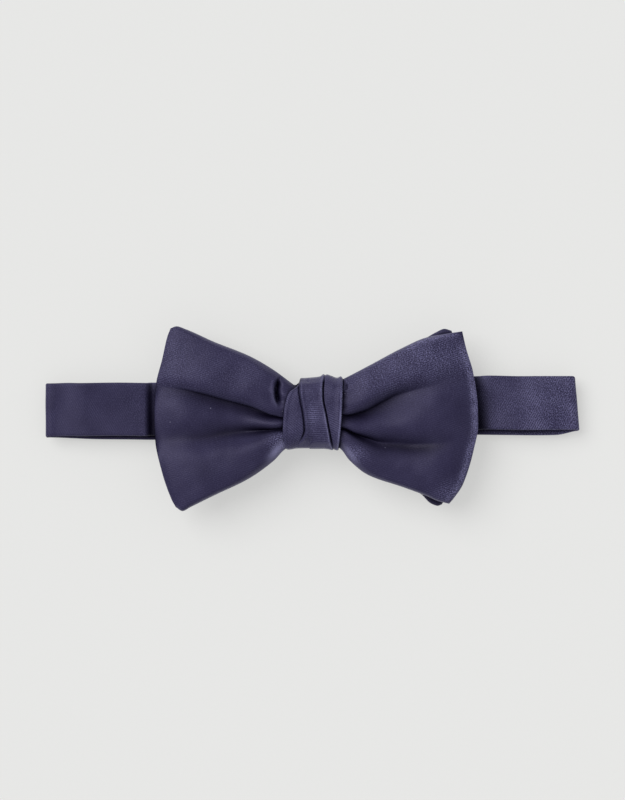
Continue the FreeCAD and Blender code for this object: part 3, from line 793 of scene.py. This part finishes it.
def rear_layer():
    """The back of the bow, the other way round: its loop is on the right and peeks out behind the front."""
    plan = bow_plan(REAR_LEFT, REAR_RIGHT)
    x, y = plan[..., 0], plan[..., 1]
    full = rim_rise(plan, REAR_LEFT, REAR_RIGHT, 1.2, 0.9, 2.0)
    rim = REAR_RIM - rear_droop(x, y)
    ceiling = rear_top(x, y)
    back = rim - (face_height(-x, y) * 0.62 - pleat_depth(x, y) * 0.36)
    back = np.minimum(back, ceiling - 0.8)
    top = rim + full * (ceiling - rim)
    bottom = rim + full * (back - rim)
    return closed_layer("bow_rear", plan, top, np.minimum(bottom, top), shade=rear_shade)


LINING_CENTRE = np.array([0.0, -1.5])
LINING_SHARE = np.array([0.93, 0.9])


def drawn_in(places):
    """Places in plan drawn in towards the middle of the bow."""
    return LINING_CENTRE + (np.asarray(places) - LINING_CENTRE) * LINING_SHARE


def lining_layer(name, left, right, low, high):
    """The sheet of interlining in one layer, drawn in from its rim."""
    plan = drawn_in(bow_plan(left, right))
    x, y = plan[..., 0], plan[..., 1]
    wings = [{edge: drawn_in(points) for edge, points in wing.items()} for wing in (left, right)]
    full = rim_rise(plan, *wings, 1.0, 1.0, 1.0)
    bottom, top = low(x, y), high(x, y)
    middle = (bottom + top) / 2
    return closed_layer(name, plan, middle + full * (top - middle), middle + full * (bottom - middle))


def bow():
    """The front and the back of the bow, each as satin with its interlining inside."""

    def front_low(x, y):
        return front_underside(x, y) + 0.35

    def front_high(x, y):
        return front_low(x, y) + 0.4

    def rear_high(x, y):
        return rear_top(x, y) - 0.25

    def rear_low(x, y):
        return rear_high(x, y) - 0.3

    front_lining = lining_layer("bow_front_lining", FRONT_LEFT, FRONT_RIGHT, front_low, front_high)
    rear_lining = lining_layer("bow_rear_lining", REAR_LEFT, REAR_RIGHT, rear_low, rear_high)
    for node, item, material in (
        ("bow_front_satin", front_layer(), WING_SATIN),
        ("bow_rear_satin", rear_layer(), WING_SATIN),
        ("bow_front_interlining", front_lining, INTERLINING),
        ("bow_rear_interlining", rear_lining, INTERLINING),
    ):
        dress(item, material)
        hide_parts(node)
        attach(item, "bow")


# ---------------- knot

KNOT_LEFT = [
    (-13.6, -9.8), (-11.8, -10.5), (-9, -11.0), (-4.5, -10.9), (1.5, -10.4), (6, -9.3), (8.7, -8.0),
    (10.6, -6.4), (12.2, -5.1),
]
KNOT_RIGHT = [(-13.7, 9.5), (-8.6, 10.2), (-1.7, 10.8), (5.7, 11.1), (12.4, 11.3)]
LEFT_FOLD = [
    (-14, -5.0), (-11.5, -5.0), (-9.6, -3.6), (-6.7, -2.6), (-1.7, -3.0), (4.9, -4.2), (7.8, -4.6),
    (13, -4.7),
]
RIGHT_FOLD = [
    (-13.6, 7.9), (-10.5, 6.8), (-7, 6.0), (-0.6, 4.8), (5.7, 3.7), (8.4, 3.7), (11, 4.0), (13.5, 4.6),
]
KNOT_TOP_EDGE = [
    (-11, 9.9), (-6.9, 10.6), (-5.1, 11.1), (-4.6, 12.0), (0, 12.4), (2.6, 12.7), (4.2, 13.5),
    (5.4, 13.7), (7, 13.2), (9.2, 12.5), (10.4, 12.8), (11.3, 12.3),
]
KNOT_LOW_EDGE = [
    (-11, -13.2), (-8.8, -13.9), (-5.6, -13.4), (4, -13.3), (7.2, -13.7), (9.7, -13.9), (11, -13.5),
]
KNOT_BACK_LEFT = [(-12.8, -10.0), (0, -10.6), (6, -10.0), (9.5, -7.6), (12.8, -5.2)]
KNOT_BACK_RIGHT = [(-12.8, 9.8), (0, 10.6), (12.8, 10.9)]
KNOT_FACE = 19.7
KNOT_BACK = 7.05
KNOT_WALL = 0.7
KNOT_HALF = 12.4
KNOT_SOFTENING = 8
KNOT_COLUMNS = 150
# Painted highlight on the knot's plain satin.
KNOT_PAINTED_HIGHLIGHT = 0.34
KNOT_TOP, KNOT_LOW = 12.7, -12.8
PANEL_RISE = 0.75
PANEL_WEAVES = (52, 88, 65)


def knot_path():
    """The wrap's way round the waist in the Y-Z plane: its face, one side, its back and the other side."""
    half, corner_rise = KNOT_HALF, 1.2
    face_y = half * np.sin(np.linspace(-np.pi / 2, np.pi / 2, 120) * 0.985)
    face_z = KNOT_FACE - 3.4 * np.abs(face_y / half) ** 5 - 0.9 * (face_y / half) ** 2
    down = np.linspace(0, 1, 26)[1:-1]
    side_y = half + 0.55 * np.sin(np.pi * down)
    right_side = np.c_[side_y, face_z[-1] + (KNOT_BACK + corner_rise - face_z[-1]) * down]
    back_y = np.linspace(half - 0.4, -half + 0.4, 70)
    back_z = KNOT_BACK + corner_rise * np.abs(back_y / half) ** 6
    left_side = right_side[::-1] * (-1, 1)
    path = np.concatenate([np.c_[face_y, face_z], right_side, np.c_[back_y, back_z], left_side])
    for _ in range(KNOT_SOFTENING):
        path = (np.roll(path, 1, axis=0) + 2 * path + np.roll(path, -1, axis=0)) / 4
    return path


def ring_normals(path):
    """At each place on a closed path, the direction square to it and away from its middle."""
    along = np.roll(path, -1, axis=0) - np.roll(path, 1, axis=0)
    outwards = np.c_[-along[:, 1], along[:, 0]]
    outwards /= np.linalg.norm(outwards, axis=1)[:, None]
    return outwards * np.sign((outwards * (path - path.mean(0))).sum())


def wrap_lift(x, y, from_left, from_right):
    """How far the folded panels stand out from the plain wrap."""
    to_left_fold = x - through(LEFT_FOLD, y)
    to_right_fold = x - through(RIGHT_FOLD, y)
    strength = ramp(-12.5, -8, y)
    centre = ramp(-0.15, 0.25, to_left_fold) * (1 - ramp(-0.25, 0.15, to_right_fold))
    lift = PANEL_RISE * centre * np.where(to_left_fold < 4, strength, 1)
    lift += (0.22 * hump(to_left_fold, 0.8, 0.6) - 0.55 * hump(to_left_fold, -0.3, 0.35)) * strength
    lift += 0.30 * hump(to_right_fold, -0.6, 0.45) - 0.55 * hump(to_right_fold, 0.2, 0.25)
    lift += 0.3 * hump(from_right, 0.7, 0.5) + 0.2 * hump(from_left, 0.9, 0.6)
    lift -= 0.45 * hump(x, -1.7, 0.5) * hump(y, 11.4, 0.7)
    lift += 0.5 * ramp(3, 0, from_right) - 0.35 * ramp(5, 0, from_left)
    lift += 0.07 * ripple(x, y, 7, 3)
    return lift * (1 - 0.65 * ramp(-10, -12.4, y)) * (1 - 0.6 * ramp(10, 12.3, y))


def knot_weave(x, y, girth):
    """Places on the wrap's cloth in millimetres. Each panel's weave runs its own way."""
    left, centre, right = PANEL_WEAVES
    in_left, in_centre = x < through(LEFT_FOLD, y), x < through(RIGHT_FOLD, y)
    turn = np.radians(np.where(in_left, left, np.where(in_centre, centre, right)))
    return np.dstack([x * np.cos(turn) + girth * np.sin(turn), girth * np.cos(turn) - x * np.sin(turn)])


def knot_glint(x, y, from_right):
    """The painted highlight of the knot: its folds' crests, its right rim and a spot on the centre panel."""
    glint = KNOT_PAINTED_HIGHLIGHT + 0.9 * hump(x - through(RIGHT_FOLD, y), -0.3, 0.35)
    glint += 0.9 * ramp(1.0, 0.2, from_right)
    glint += 0.5 * hump(x - through(LEFT_FOLD, y), 0.35, 0.3) * ramp(4, 8, y)
    glint += 0.5 * hump(x, -0.2, 1.6) * hump(y, -1, 4.5)
    return np.clip(glint, 0, MOST_PAINTED_HIGHLIGHT)


def knot_shade(x, y, from_right, facing_up):
    """Painted shade in the knot's notch, less broken lines of painted highlight along its right fold and
    right rim.
    """
    pale = hump(x - through(RIGHT_FOLD, y), -0.35, 0.22) * ramp(10, 6, y)
    pale += hump(from_right, 0.5, 0.25) * ramp(9, 3, y)
    pale *= 0.55 + 0.45 * ripple(y, 0 * x, 6, 12)
    return 0.7 * hump(x, -4.6, 0.6) * hump(y, 12.2, 0.9) - 0.6 * pale * facing_up


def wrap_ring(name, depth, wall, margin, columns):
    """A closed band round the waist whose outer face lies a given depth under the wrap's outer face."""
    path = knot_path()
    outwards = ring_normals(path)
    y, z = path[:, :1], path[:, 1:]
    front = ramp(7, 15, z)
    left = through(KNOT_LEFT, y) * front + through(KNOT_BACK_LEFT, y) * (1 - front) + margin
    right = through(KNOT_RIGHT, y) * front + through(KNOT_BACK_RIGHT, y) * (1 - front) - margin
    share = crowd(columns, 0.45)[None]
    from_left, from_right = share * (right - left), (1 - share) * (right - left)
    x = left + from_left
    across = np.repeat(y, columns, 1)
    lift = wrap_lift(x, across, from_left, from_right) * ramp(8, 13, z)
    edge = round_over(np.minimum(from_left, from_right), 0.55)
    high = (through(KNOT_TOP_EDGE, x) - KNOT_TOP) * ramp(6, 12.2, across)
    low = (through(KNOT_LOW_EDGE, x) - KNOT_LOW) * ramp(-6, -12.2, across)
    stretch = (high + low) * (0.35 + 0.65 * np.abs(outwards[:, :1]))

    def face(inset):
        """The band's surface a given distance inside the wrap's outer face."""
        reach = lift - inset
        return np.dstack([x, y + stretch + outwards[:, :1] * reach, z + outwards[:, 1:] * reach])

    middle = depth + wall / 2
    loops = there_and_back(face(middle - edge * wall / 2), face(middle + edge * wall / 2))
    girth = np.r_[0, np.cumsum(np.linalg.norm(np.diff(path, axis=0), axis=1))][:, None]
    weave = knot_weave(x, across, girth)
    # Painted highlight and painted shade for each vertex; the inner side takes no painted shade.
    glint = knot_glint(x, across, from_right)
    shade = knot_shade(x, across, from_right, ramp(12, 16, z))
    cloth = there_and_back(weave, weave).reshape(-1, 2)
    marks = [there_and_back(glint, glint).ravel(), there_and_back(shade, 0 * shade).ravel()]
    faces = loft_faces(len(path), loops.shape[1], closed_rows=True)
    return make_object(name, loops.reshape(-1, 3), faces, cloth, *marks)


def knot():
    """A band of satin wrapped round the waist, folded into three panels on its face, with its interlining."""
    wrap = wrap_ring("knot_wrap_satin", 0, KNOT_WALL, 0, KNOT_COLUMNS)
    lining = wrap_ring("knot_lining", KNOT_WALL + 0.45, 0.3, 2.4, 60)
    dress(wrap, KNOT_SATIN)
    dress(lining, INTERLINING)
    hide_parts("knot_wrap")
    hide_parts("knot_interlining")
    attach(wrap, "bow")
    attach(lining, "bow")


# ---------------- waist thread

WAIST_TURNS = 5
WAIST_THREAD = 0.5
WAIST_MIDDLE = (-1.4, 13.2)
WAIST_HALF = (10.3, 4.9)


def waist_thread():
    """Thread wound round the gathered waist, under the knot: one line that steps sideways at every turn."""
    steps = 72
    turn = np.linspace(0, WAIST_TURNS, WAIST_TURNS * steps + 1)
    angle = 2 * np.pi * turn
    squarish = (np.abs(np.cos(angle)) ** 4 + np.abs(np.sin(angle)) ** 4) ** -0.25
    y = WAIST_MIDDLE[0] + WAIST_HALF[0] * np.cos(angle) * squarish
    z = WAIST_MIDDLE[1] + WAIST_HALF[1] * np.sin(angle) * squarish
    x = (turn - WAIST_TURNS / 2) * WAIST_THREAD * 1.6
    line = np.c_[x, y, z]
    sides = 10
    along = np.gradient(line, axis=0)
    along /= np.linalg.norm(along, axis=1)[:, None]
    outwards = np.c_[0 * x, np.cos(angle), np.sin(angle)]
    outwards -= (outwards * along).sum(1)[:, None] * along
    outwards /= np.linalg.norm(outwards, axis=1)[:, None]
    sideways = np.cross(along, outwards)
    around = np.arange(sides) * 2 * np.pi / sides
    cosine, sine = np.cos(around)[None, :, None], np.sin(around)[None, :, None]
    tube = line[:, None] + (cosine * outwards[:, None] + sine * sideways[:, None]) * WAIST_THREAD / 2
    item = make_object("waist_binding", tube.reshape(-1, 3), capped_faces(len(line), sides), merge=False)
    dress(item, THREAD)
    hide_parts("waist_thread")
    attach(item, "bow")


# ---------------- neckband

EDGE_STEPS = 7
FLAT_STEPS = 26
STATION = 0.8
SAG, WANDER = 0.06, 0.12
PLY_OFFSET = 9


def strap_outline(width, thickness):
    """The flat tube cut across, as (across, up) places: two flat sides joined by half circles."""
    radius = thickness / 2
    flat = np.linspace(-1, 1, FLAT_STEPS) * (width / 2 - radius)
    bend = np.linspace(np.pi / 2, -np.pi / 2, EDGE_STEPS)[1:-1]
    top = np.c_[flat, np.full(FLAT_STEPS, radius)]
    right = np.c_[width / 2 - radius + radius * np.cos(bend), radius * np.sin(bend)]
    return np.concatenate([top, right, -top, -right])


def strap_path(*stretches):
    """Stations along a strap in the X-Z plane, from straight stretches ("line", x0, z0, x1, z1) and from
    parts of an ellipse ("bend", x, z, reach in X, radius in Z, first angle, last angle)."""
    stations = []
    for kind, *amounts in stretches:
        if kind == "line":
            x0, z0, x1, z1 = amounts
            count = max(2, int(math.hypot(x1 - x0, z1 - z0) / STATION))
            share = np.linspace(0, 1, count)
            piece = np.c_[x0 + share * (x1 - x0), z0 + share * (z1 - z0)]
        else:
            x, z, reach, radius, start, stop = amounts
            angle = np.radians(np.linspace(start, stop, 21))
            piece = np.c_[x + reach * np.cos(angle), z + radius * np.sin(angle)]
        stations.append(piece if not stations else piece[1:])
    return np.concatenate(stations)


def strap(name, path, shape, width, thickness, seed, material):
    """A strap swept along a path. The shape gives, at each station, its middle in Y, its lean, its roll,
    its painted highlight and how much painted shade darkens its lower edge, turning to painted highlight
    at its upper edge."""
    outline = strap_outline(width, thickness)
    along = np.gradient(path, axis=0)
    along /= np.linalg.norm(along, axis=1)[:, None]
    up = np.c_[-along[:, 1], along[:, 0]]
    middle, lean, roll, painted_highlight, shade = (values[:, None] for values in shape(path))
    travelled = np.r_[0, np.cumsum(np.linalg.norm(np.diff(path, axis=0), axis=1))]
    place = path[:, 0] + PLY_OFFSET * path[:, 1]
    across, rise = outline[:, 0][None], outline[:, 1][None]
    sag = SAG * ripple(place[:, None], across, 17, seed) * (1 - (across / (width / 2)) ** 4)
    wander = WANDER * ripple(place, 0 * place, 30, seed + 1)[:, None]
    x = path[:, :1] + up[:, :1] * (rise + sag) + lean * across
    y = middle + across + wander
    z = path[:, 1:] + up[:, 1:] * (rise + sag) + roll * across
    vertices = np.dstack([x, y, z]).reshape(-1, 3)
    ring = len(outline)
    uv = np.dstack([np.repeat(travelled[:, None], ring, 1), np.repeat(across, len(path), 0)]).reshape(-1, 2)
    # Painted shade towards the lower edge, turning to painted highlight at the upper edge.
    painted_shading_across = np.clip(shade * (0.3 - across / width), -0.4, 0.9).ravel()
    faces = capped_faces(len(path), ring)
    item = make_object(name, vertices, faces, uv, np.repeat(painted_highlight, ring), painted_shading_across, merge=False)
    return dress(item, material)


FRONT_PLY = 6.25
TAIL_PLY = 3.95
LEFT_FOLD_X, RIGHT_FOLD_X = -96.9, 96.1
FOLD_REACH = 2.15
FOLD_RADIUS = (FRONT_PLY - TAIL_PLY) / 2
FOLD_Z = (FRONT_PLY + TAIL_PLY) / 2
EYE_X = -35.1
HOOK_X = -18.1
RETURN_START = HOOK_X + 2
FRONT_START = 12
SEWN_END = 10
FITTING_Z = 2.25
LOOP_RADIUS = 1.7
RETURN_Z = 0.55
SLIDE_LOOP_X = 35.55
SLIDE_Z = 1.65
SLIDE_LOOP_RADIUS = 1.1
JOIN_X = 95.9
LEFT_Y, RIGHT_Y = 0.95, 3.4
LEFT_WIDTH, RIGHT_WIDTH = 19.8, 20.1
KNOT_DIP = 0.8
LEFT_PUFF, RIGHT_PUFF = 1.5, 1.1


# The middle of each tail, as (x, y) places along it.
LEFT_TAIL_LINE = [(-98, 0.2), (-80, -0.1), (-61, -0.5), (-45, -0.1), (-30, 0.0)]
RIGHT_TAIL_LINE = [(-30, 0.0), (-7, 0.0), (12, 0.6), (35, 1.2), (66, 1.4), (90, 1.4), (98, 2.9)]


def puffed(path):
    """The path with its upper ply raised between each fold and the bow, and dropping before it goes under."""
    x, z = path.T
    left = LEFT_PUFF * ramp(-JOIN_X, -84, x) * ramp(-60.2, -61.8, x)
    right = RIGHT_PUFF * ramp(95.5, 84, x) * ramp(58, 66, x)
    return np.c_[x, z + (left + right) * ramp(FOLD_Z, FRONT_PLY, z)]


def left_shape(path):
    """The left half of the band. Its front dips behind the knot, and its tail lies a little lower."""
    x, z = path.T
    front = LEFT_Y - KNOT_DIP * ramp(-50, -16, x)
    tail = through(LEFT_TAIL_LINE, x)
    upper = ramp(4.6, 5.6, z)
    # Painted shade where the front ply goes under the left wing, and painted highlight that grows towards the
    # wing.
    shade = 1.6 * ramp(-62.5, -60.5, x) * upper
    return tail + (front - tail) * upper, 0 * x, 0.02 * upper, 0.14 + 0.16 * ramp(-75, -62, x), shade


def right_shape(path):
    """The right half of the band. It leaves the knot low and ends high, rolled a little towards the top of
    the page, and its fold isn't square: the lower corner reaches further out. The tail runs back down."""
    x, z = path.T
    knot_y = LEFT_Y - KNOT_DIP
    front = knot_y + (RIGHT_Y - knot_y) * ramp(14, 54, x)
    tail = through(RIGHT_TAIL_LINE, x)
    upper = ramp(4.2, 5.9, z)
    lean = -0.082 * ramp(74, 97, x)
    roll = 0.09 * upper * ramp(50, 58, x) * (1 - 2 * ramp(63, 76, x)) * ramp(95.5, 84, x)
    # Painted shadow of the right wing on the front ply beside the bow, and painted highlight that grows
    # towards the fold.
    shade = 1.3 * ramp(67.5, 62.5, x) * ramp(50, 58, x) * upper
    return tail + (front - tail) * upper, lean, roll, 0.5 + 0.6 * ramp(66, 96, x), shade


# Each layer of the strap: how much wider it is than the strap, its thickness and its material.
BAND_LAYERS = {"satin": (0.0, 1.1, BAND_SATIN), "interlining": (-1.4, 0.4, INTERLINING)}

# Each half of the band: its shape, its width and the seed of its unevenness.
LEFT_HALF = (left_shape, LEFT_WIDTH, 21)
RIGHT_HALF = (right_shape, RIGHT_WIDTH, 0)


def band_section(name, kind, path, half):
    """One layer of a stretch of the band."""
    shape, width, seed = half
    wider, thickness, material = BAND_LAYERS[kind]
    return strap(f"visual_{name}_{kind}", path, shape, width + wider, thickness, seed, material)


def millimetres(*place):
    """A place given in millimetres, in metres."""
    return tuple(value * MM for value in place)


def fold_section(name, kind, fold_x, half):
    """The stretch round a fold, drawn from one body to the other round its bend."""
    side = math.copysign(1, fold_x)
    path = strap_path(
        ("line", side * JOIN_X, FRONT_PLY, fold_x, FRONT_PLY),
        ("bend", fold_x, FOLD_Z, side * FOLD_REACH, FOLD_RADIUS, 90, -90),
        ("line", fold_x, TAIL_PLY, side * JOIN_X, TAIL_PLY),
    )
    item = band_section(name, kind, path, half)
    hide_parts(f"{name}_{kind}")
    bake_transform(item)


def front_path(last_x):
    """The front ply, from under the knot to where a fold begins."""
    return puffed(strap_path(("line", FRONT_START, FRONT_PLY, last_x, FRONT_PLY)))


LEFT_TAIL_PATH = strap_path(
    ("line", -JOIN_X, TAIL_PLY, EYE_X, TAIL_PLY),
    ("bend", EYE_X, FITTING_Z, LOOP_RADIUS, LOOP_RADIUS, 90, -90),
    ("line", EYE_X, RETURN_Z, EYE_X - SEWN_END, RETURN_Z),
)
RIGHT_TAIL_PATH = strap_path(
    ("line", JOIN_X, TAIL_PLY, HOOK_X, TAIL_PLY),
    ("bend", HOOK_X, FITTING_Z, LOOP_RADIUS, LOOP_RADIUS, 90, 270),
    ("line", HOOK_X, RETURN_Z, RETURN_START, RETURN_Z),
)
RETURN_PATH = strap_path(
    ("line", RETURN_START, RETURN_Z, SLIDE_LOOP_X, SLIDE_Z - SLIDE_LOOP_RADIUS),
    ("bend", SLIDE_LOOP_X, SLIDE_Z, SLIDE_LOOP_RADIUS, SLIDE_LOOP_RADIUS, -90, 90),
    ("line", SLIDE_LOOP_X, SLIDE_Z + SLIDE_LOOP_RADIUS, SLIDE_LOOP_X - SEWN_END, SLIDE_Z + SLIDE_LOOP_RADIUS),
)


def left_band(kind):
    """The left half in one layer: front ply, fold, and tail with its loop round the eye."""
    front = band_section("band_front_left", kind, front_path(-JOIN_X), LEFT_HALF)
    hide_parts(f"band_front_{kind}")
    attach(front, "bow")

    fold_section("band_left_fold", kind, LEFT_FOLD_X, LEFT_HALF)

    tail = band_section("band_left_tail", kind, LEFT_TAIL_PATH, LEFT_HALF)
    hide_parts(f"left_tail_{kind}", f"eye_loop_{kind}")
    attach(tail, "left_tail")


def right_band(kind):
    """The right half in one layer: front ply, fold, tail with its loop round the hook's bar, and the ply that
    returns to the slide. The plies between moving bodies stretch from one to the other."""
    front = band_section("band_front_right", kind, front_path(JOIN_X), RIGHT_HALF)
    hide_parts(f"band_front_right_{kind}")
    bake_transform(front)

    fold_section("band_right_fold", kind, RIGHT_FOLD_X, RIGHT_HALF)

    tail = band_section("band_right_tail", kind, RIGHT_TAIL_PATH, RIGHT_HALF)
    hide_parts(f"right_tail_{kind}", f"right_tail_end_{kind}", f"hook_loop_{kind}")
    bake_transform(tail)

    returning = band_section("band_return", kind, RETURN_PATH, RIGHT_HALF)
    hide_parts(f"return_ply_{kind}", f"slide_loop_{kind}")
    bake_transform(returning)


def neckband():
    """The band, as satin with its interlining inside. Its sections meet square, so no join shows."""
    for kind in BAND_LAYERS:
        left_band(kind)
        right_band(kind)


# ---------------- fittings


METAL_NODES = ("adjuster_slide", "hook", "eye_ring")
THREAD_NODES = ("knot_seam_stitches", "knot_tack_left", "knot_tack_right", "eye_tack", "slide_tack")


def fittings():
    """The fittings and the stitches keep their CAD shape and take a worked finish."""
    for material, nodes in ((STEEL, METAL_NODES), (THREAD, THREAD_NODES)):
        for node in nodes:
            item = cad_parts[node]
            item.data.materials.clear()
            item.data.materials.append(material)


# ---------------- stage


def floor():
    """Pale paper under the tie, a fifth of a millimetre below it."""
    bpy.ops.mesh.primitive_plane_add(size=6, location=(0, 0, -0.0002))
    item = bpy.context.object
    item.name = "floor"
    item.data.materials.append(floor_material())


WINDOW_WAY = (-0.68, 0.50, 1.0)
WINDOW_SOFTNESS = 46
WINDOW_STRENGTH = 2.0
ROOM_STRENGTH = 0.52


def sunlight(name, source, softness, strength):
    """A far light seen from the object towards source, as wide as softness degrees."""
    data = bpy.data.lights.new(name, "SUN")
    data.energy = strength
    data.angle = math.radians(softness)
    item = bpy.data.objects.new(name, data)
    bpy.context.scene.collection.objects.link(item)
    tilt = math.atan2(math.hypot(source[0], source[1]), source[2])
    item.rotation_euler = (tilt, 0, math.atan2(source[1], source[0]) + math.pi / 2)


def surroundings():
    """A pale room with an even, weak light from all round."""
    world = bpy.data.worlds.new("room")
    bpy.context.scene.world = world
    world.use_nodes = True
    background = world.node_tree.nodes["Background"]
    background.inputs["Color"].default_value = (0.97, 0.98, 1.0, 1)
    background.inputs["Strength"].default_value = ROOM_STRENGTH


VIEW_WIDTH = 232.5
VIEW_CENTRE_Y = 4.46
TRUE_SCALE_Z = 9.0
LENS = 200.0
SENSOR = 36.0


def camera():
    """Straight above, with the picture's scale true at the height of the strap."""
    data = bpy.data.cameras.new("camera")
    data.lens = LENS
    data.sensor_width = SENSOR
    data.sensor_fit = "HORIZONTAL"
    item = bpy.data.objects.new("camera", data)
    bpy.context.scene.collection.objects.link(item)
    distance = VIEW_WIDTH * LENS / SENSOR
    item.location = millimetres(0, VIEW_CENTRE_Y, TRUE_SCALE_Z + distance)
    data.clip_end = 20
    bpy.context.scene.camera = item


def light_and_view():
    """One soft window, an even room, the camera, and colours shown as they are."""
    surroundings()
    sunlight("window", WINDOW_WAY, WINDOW_SOFTNESS, WINDOW_STRENGTH)
    camera()
    view = bpy.context.scene.view_settings
    view.view_transform = "Standard"
    view.look = "None"


# ---------------- build

bow()
waist_thread()
knot()
neckband()
fittings()
floor()
light_and_view()
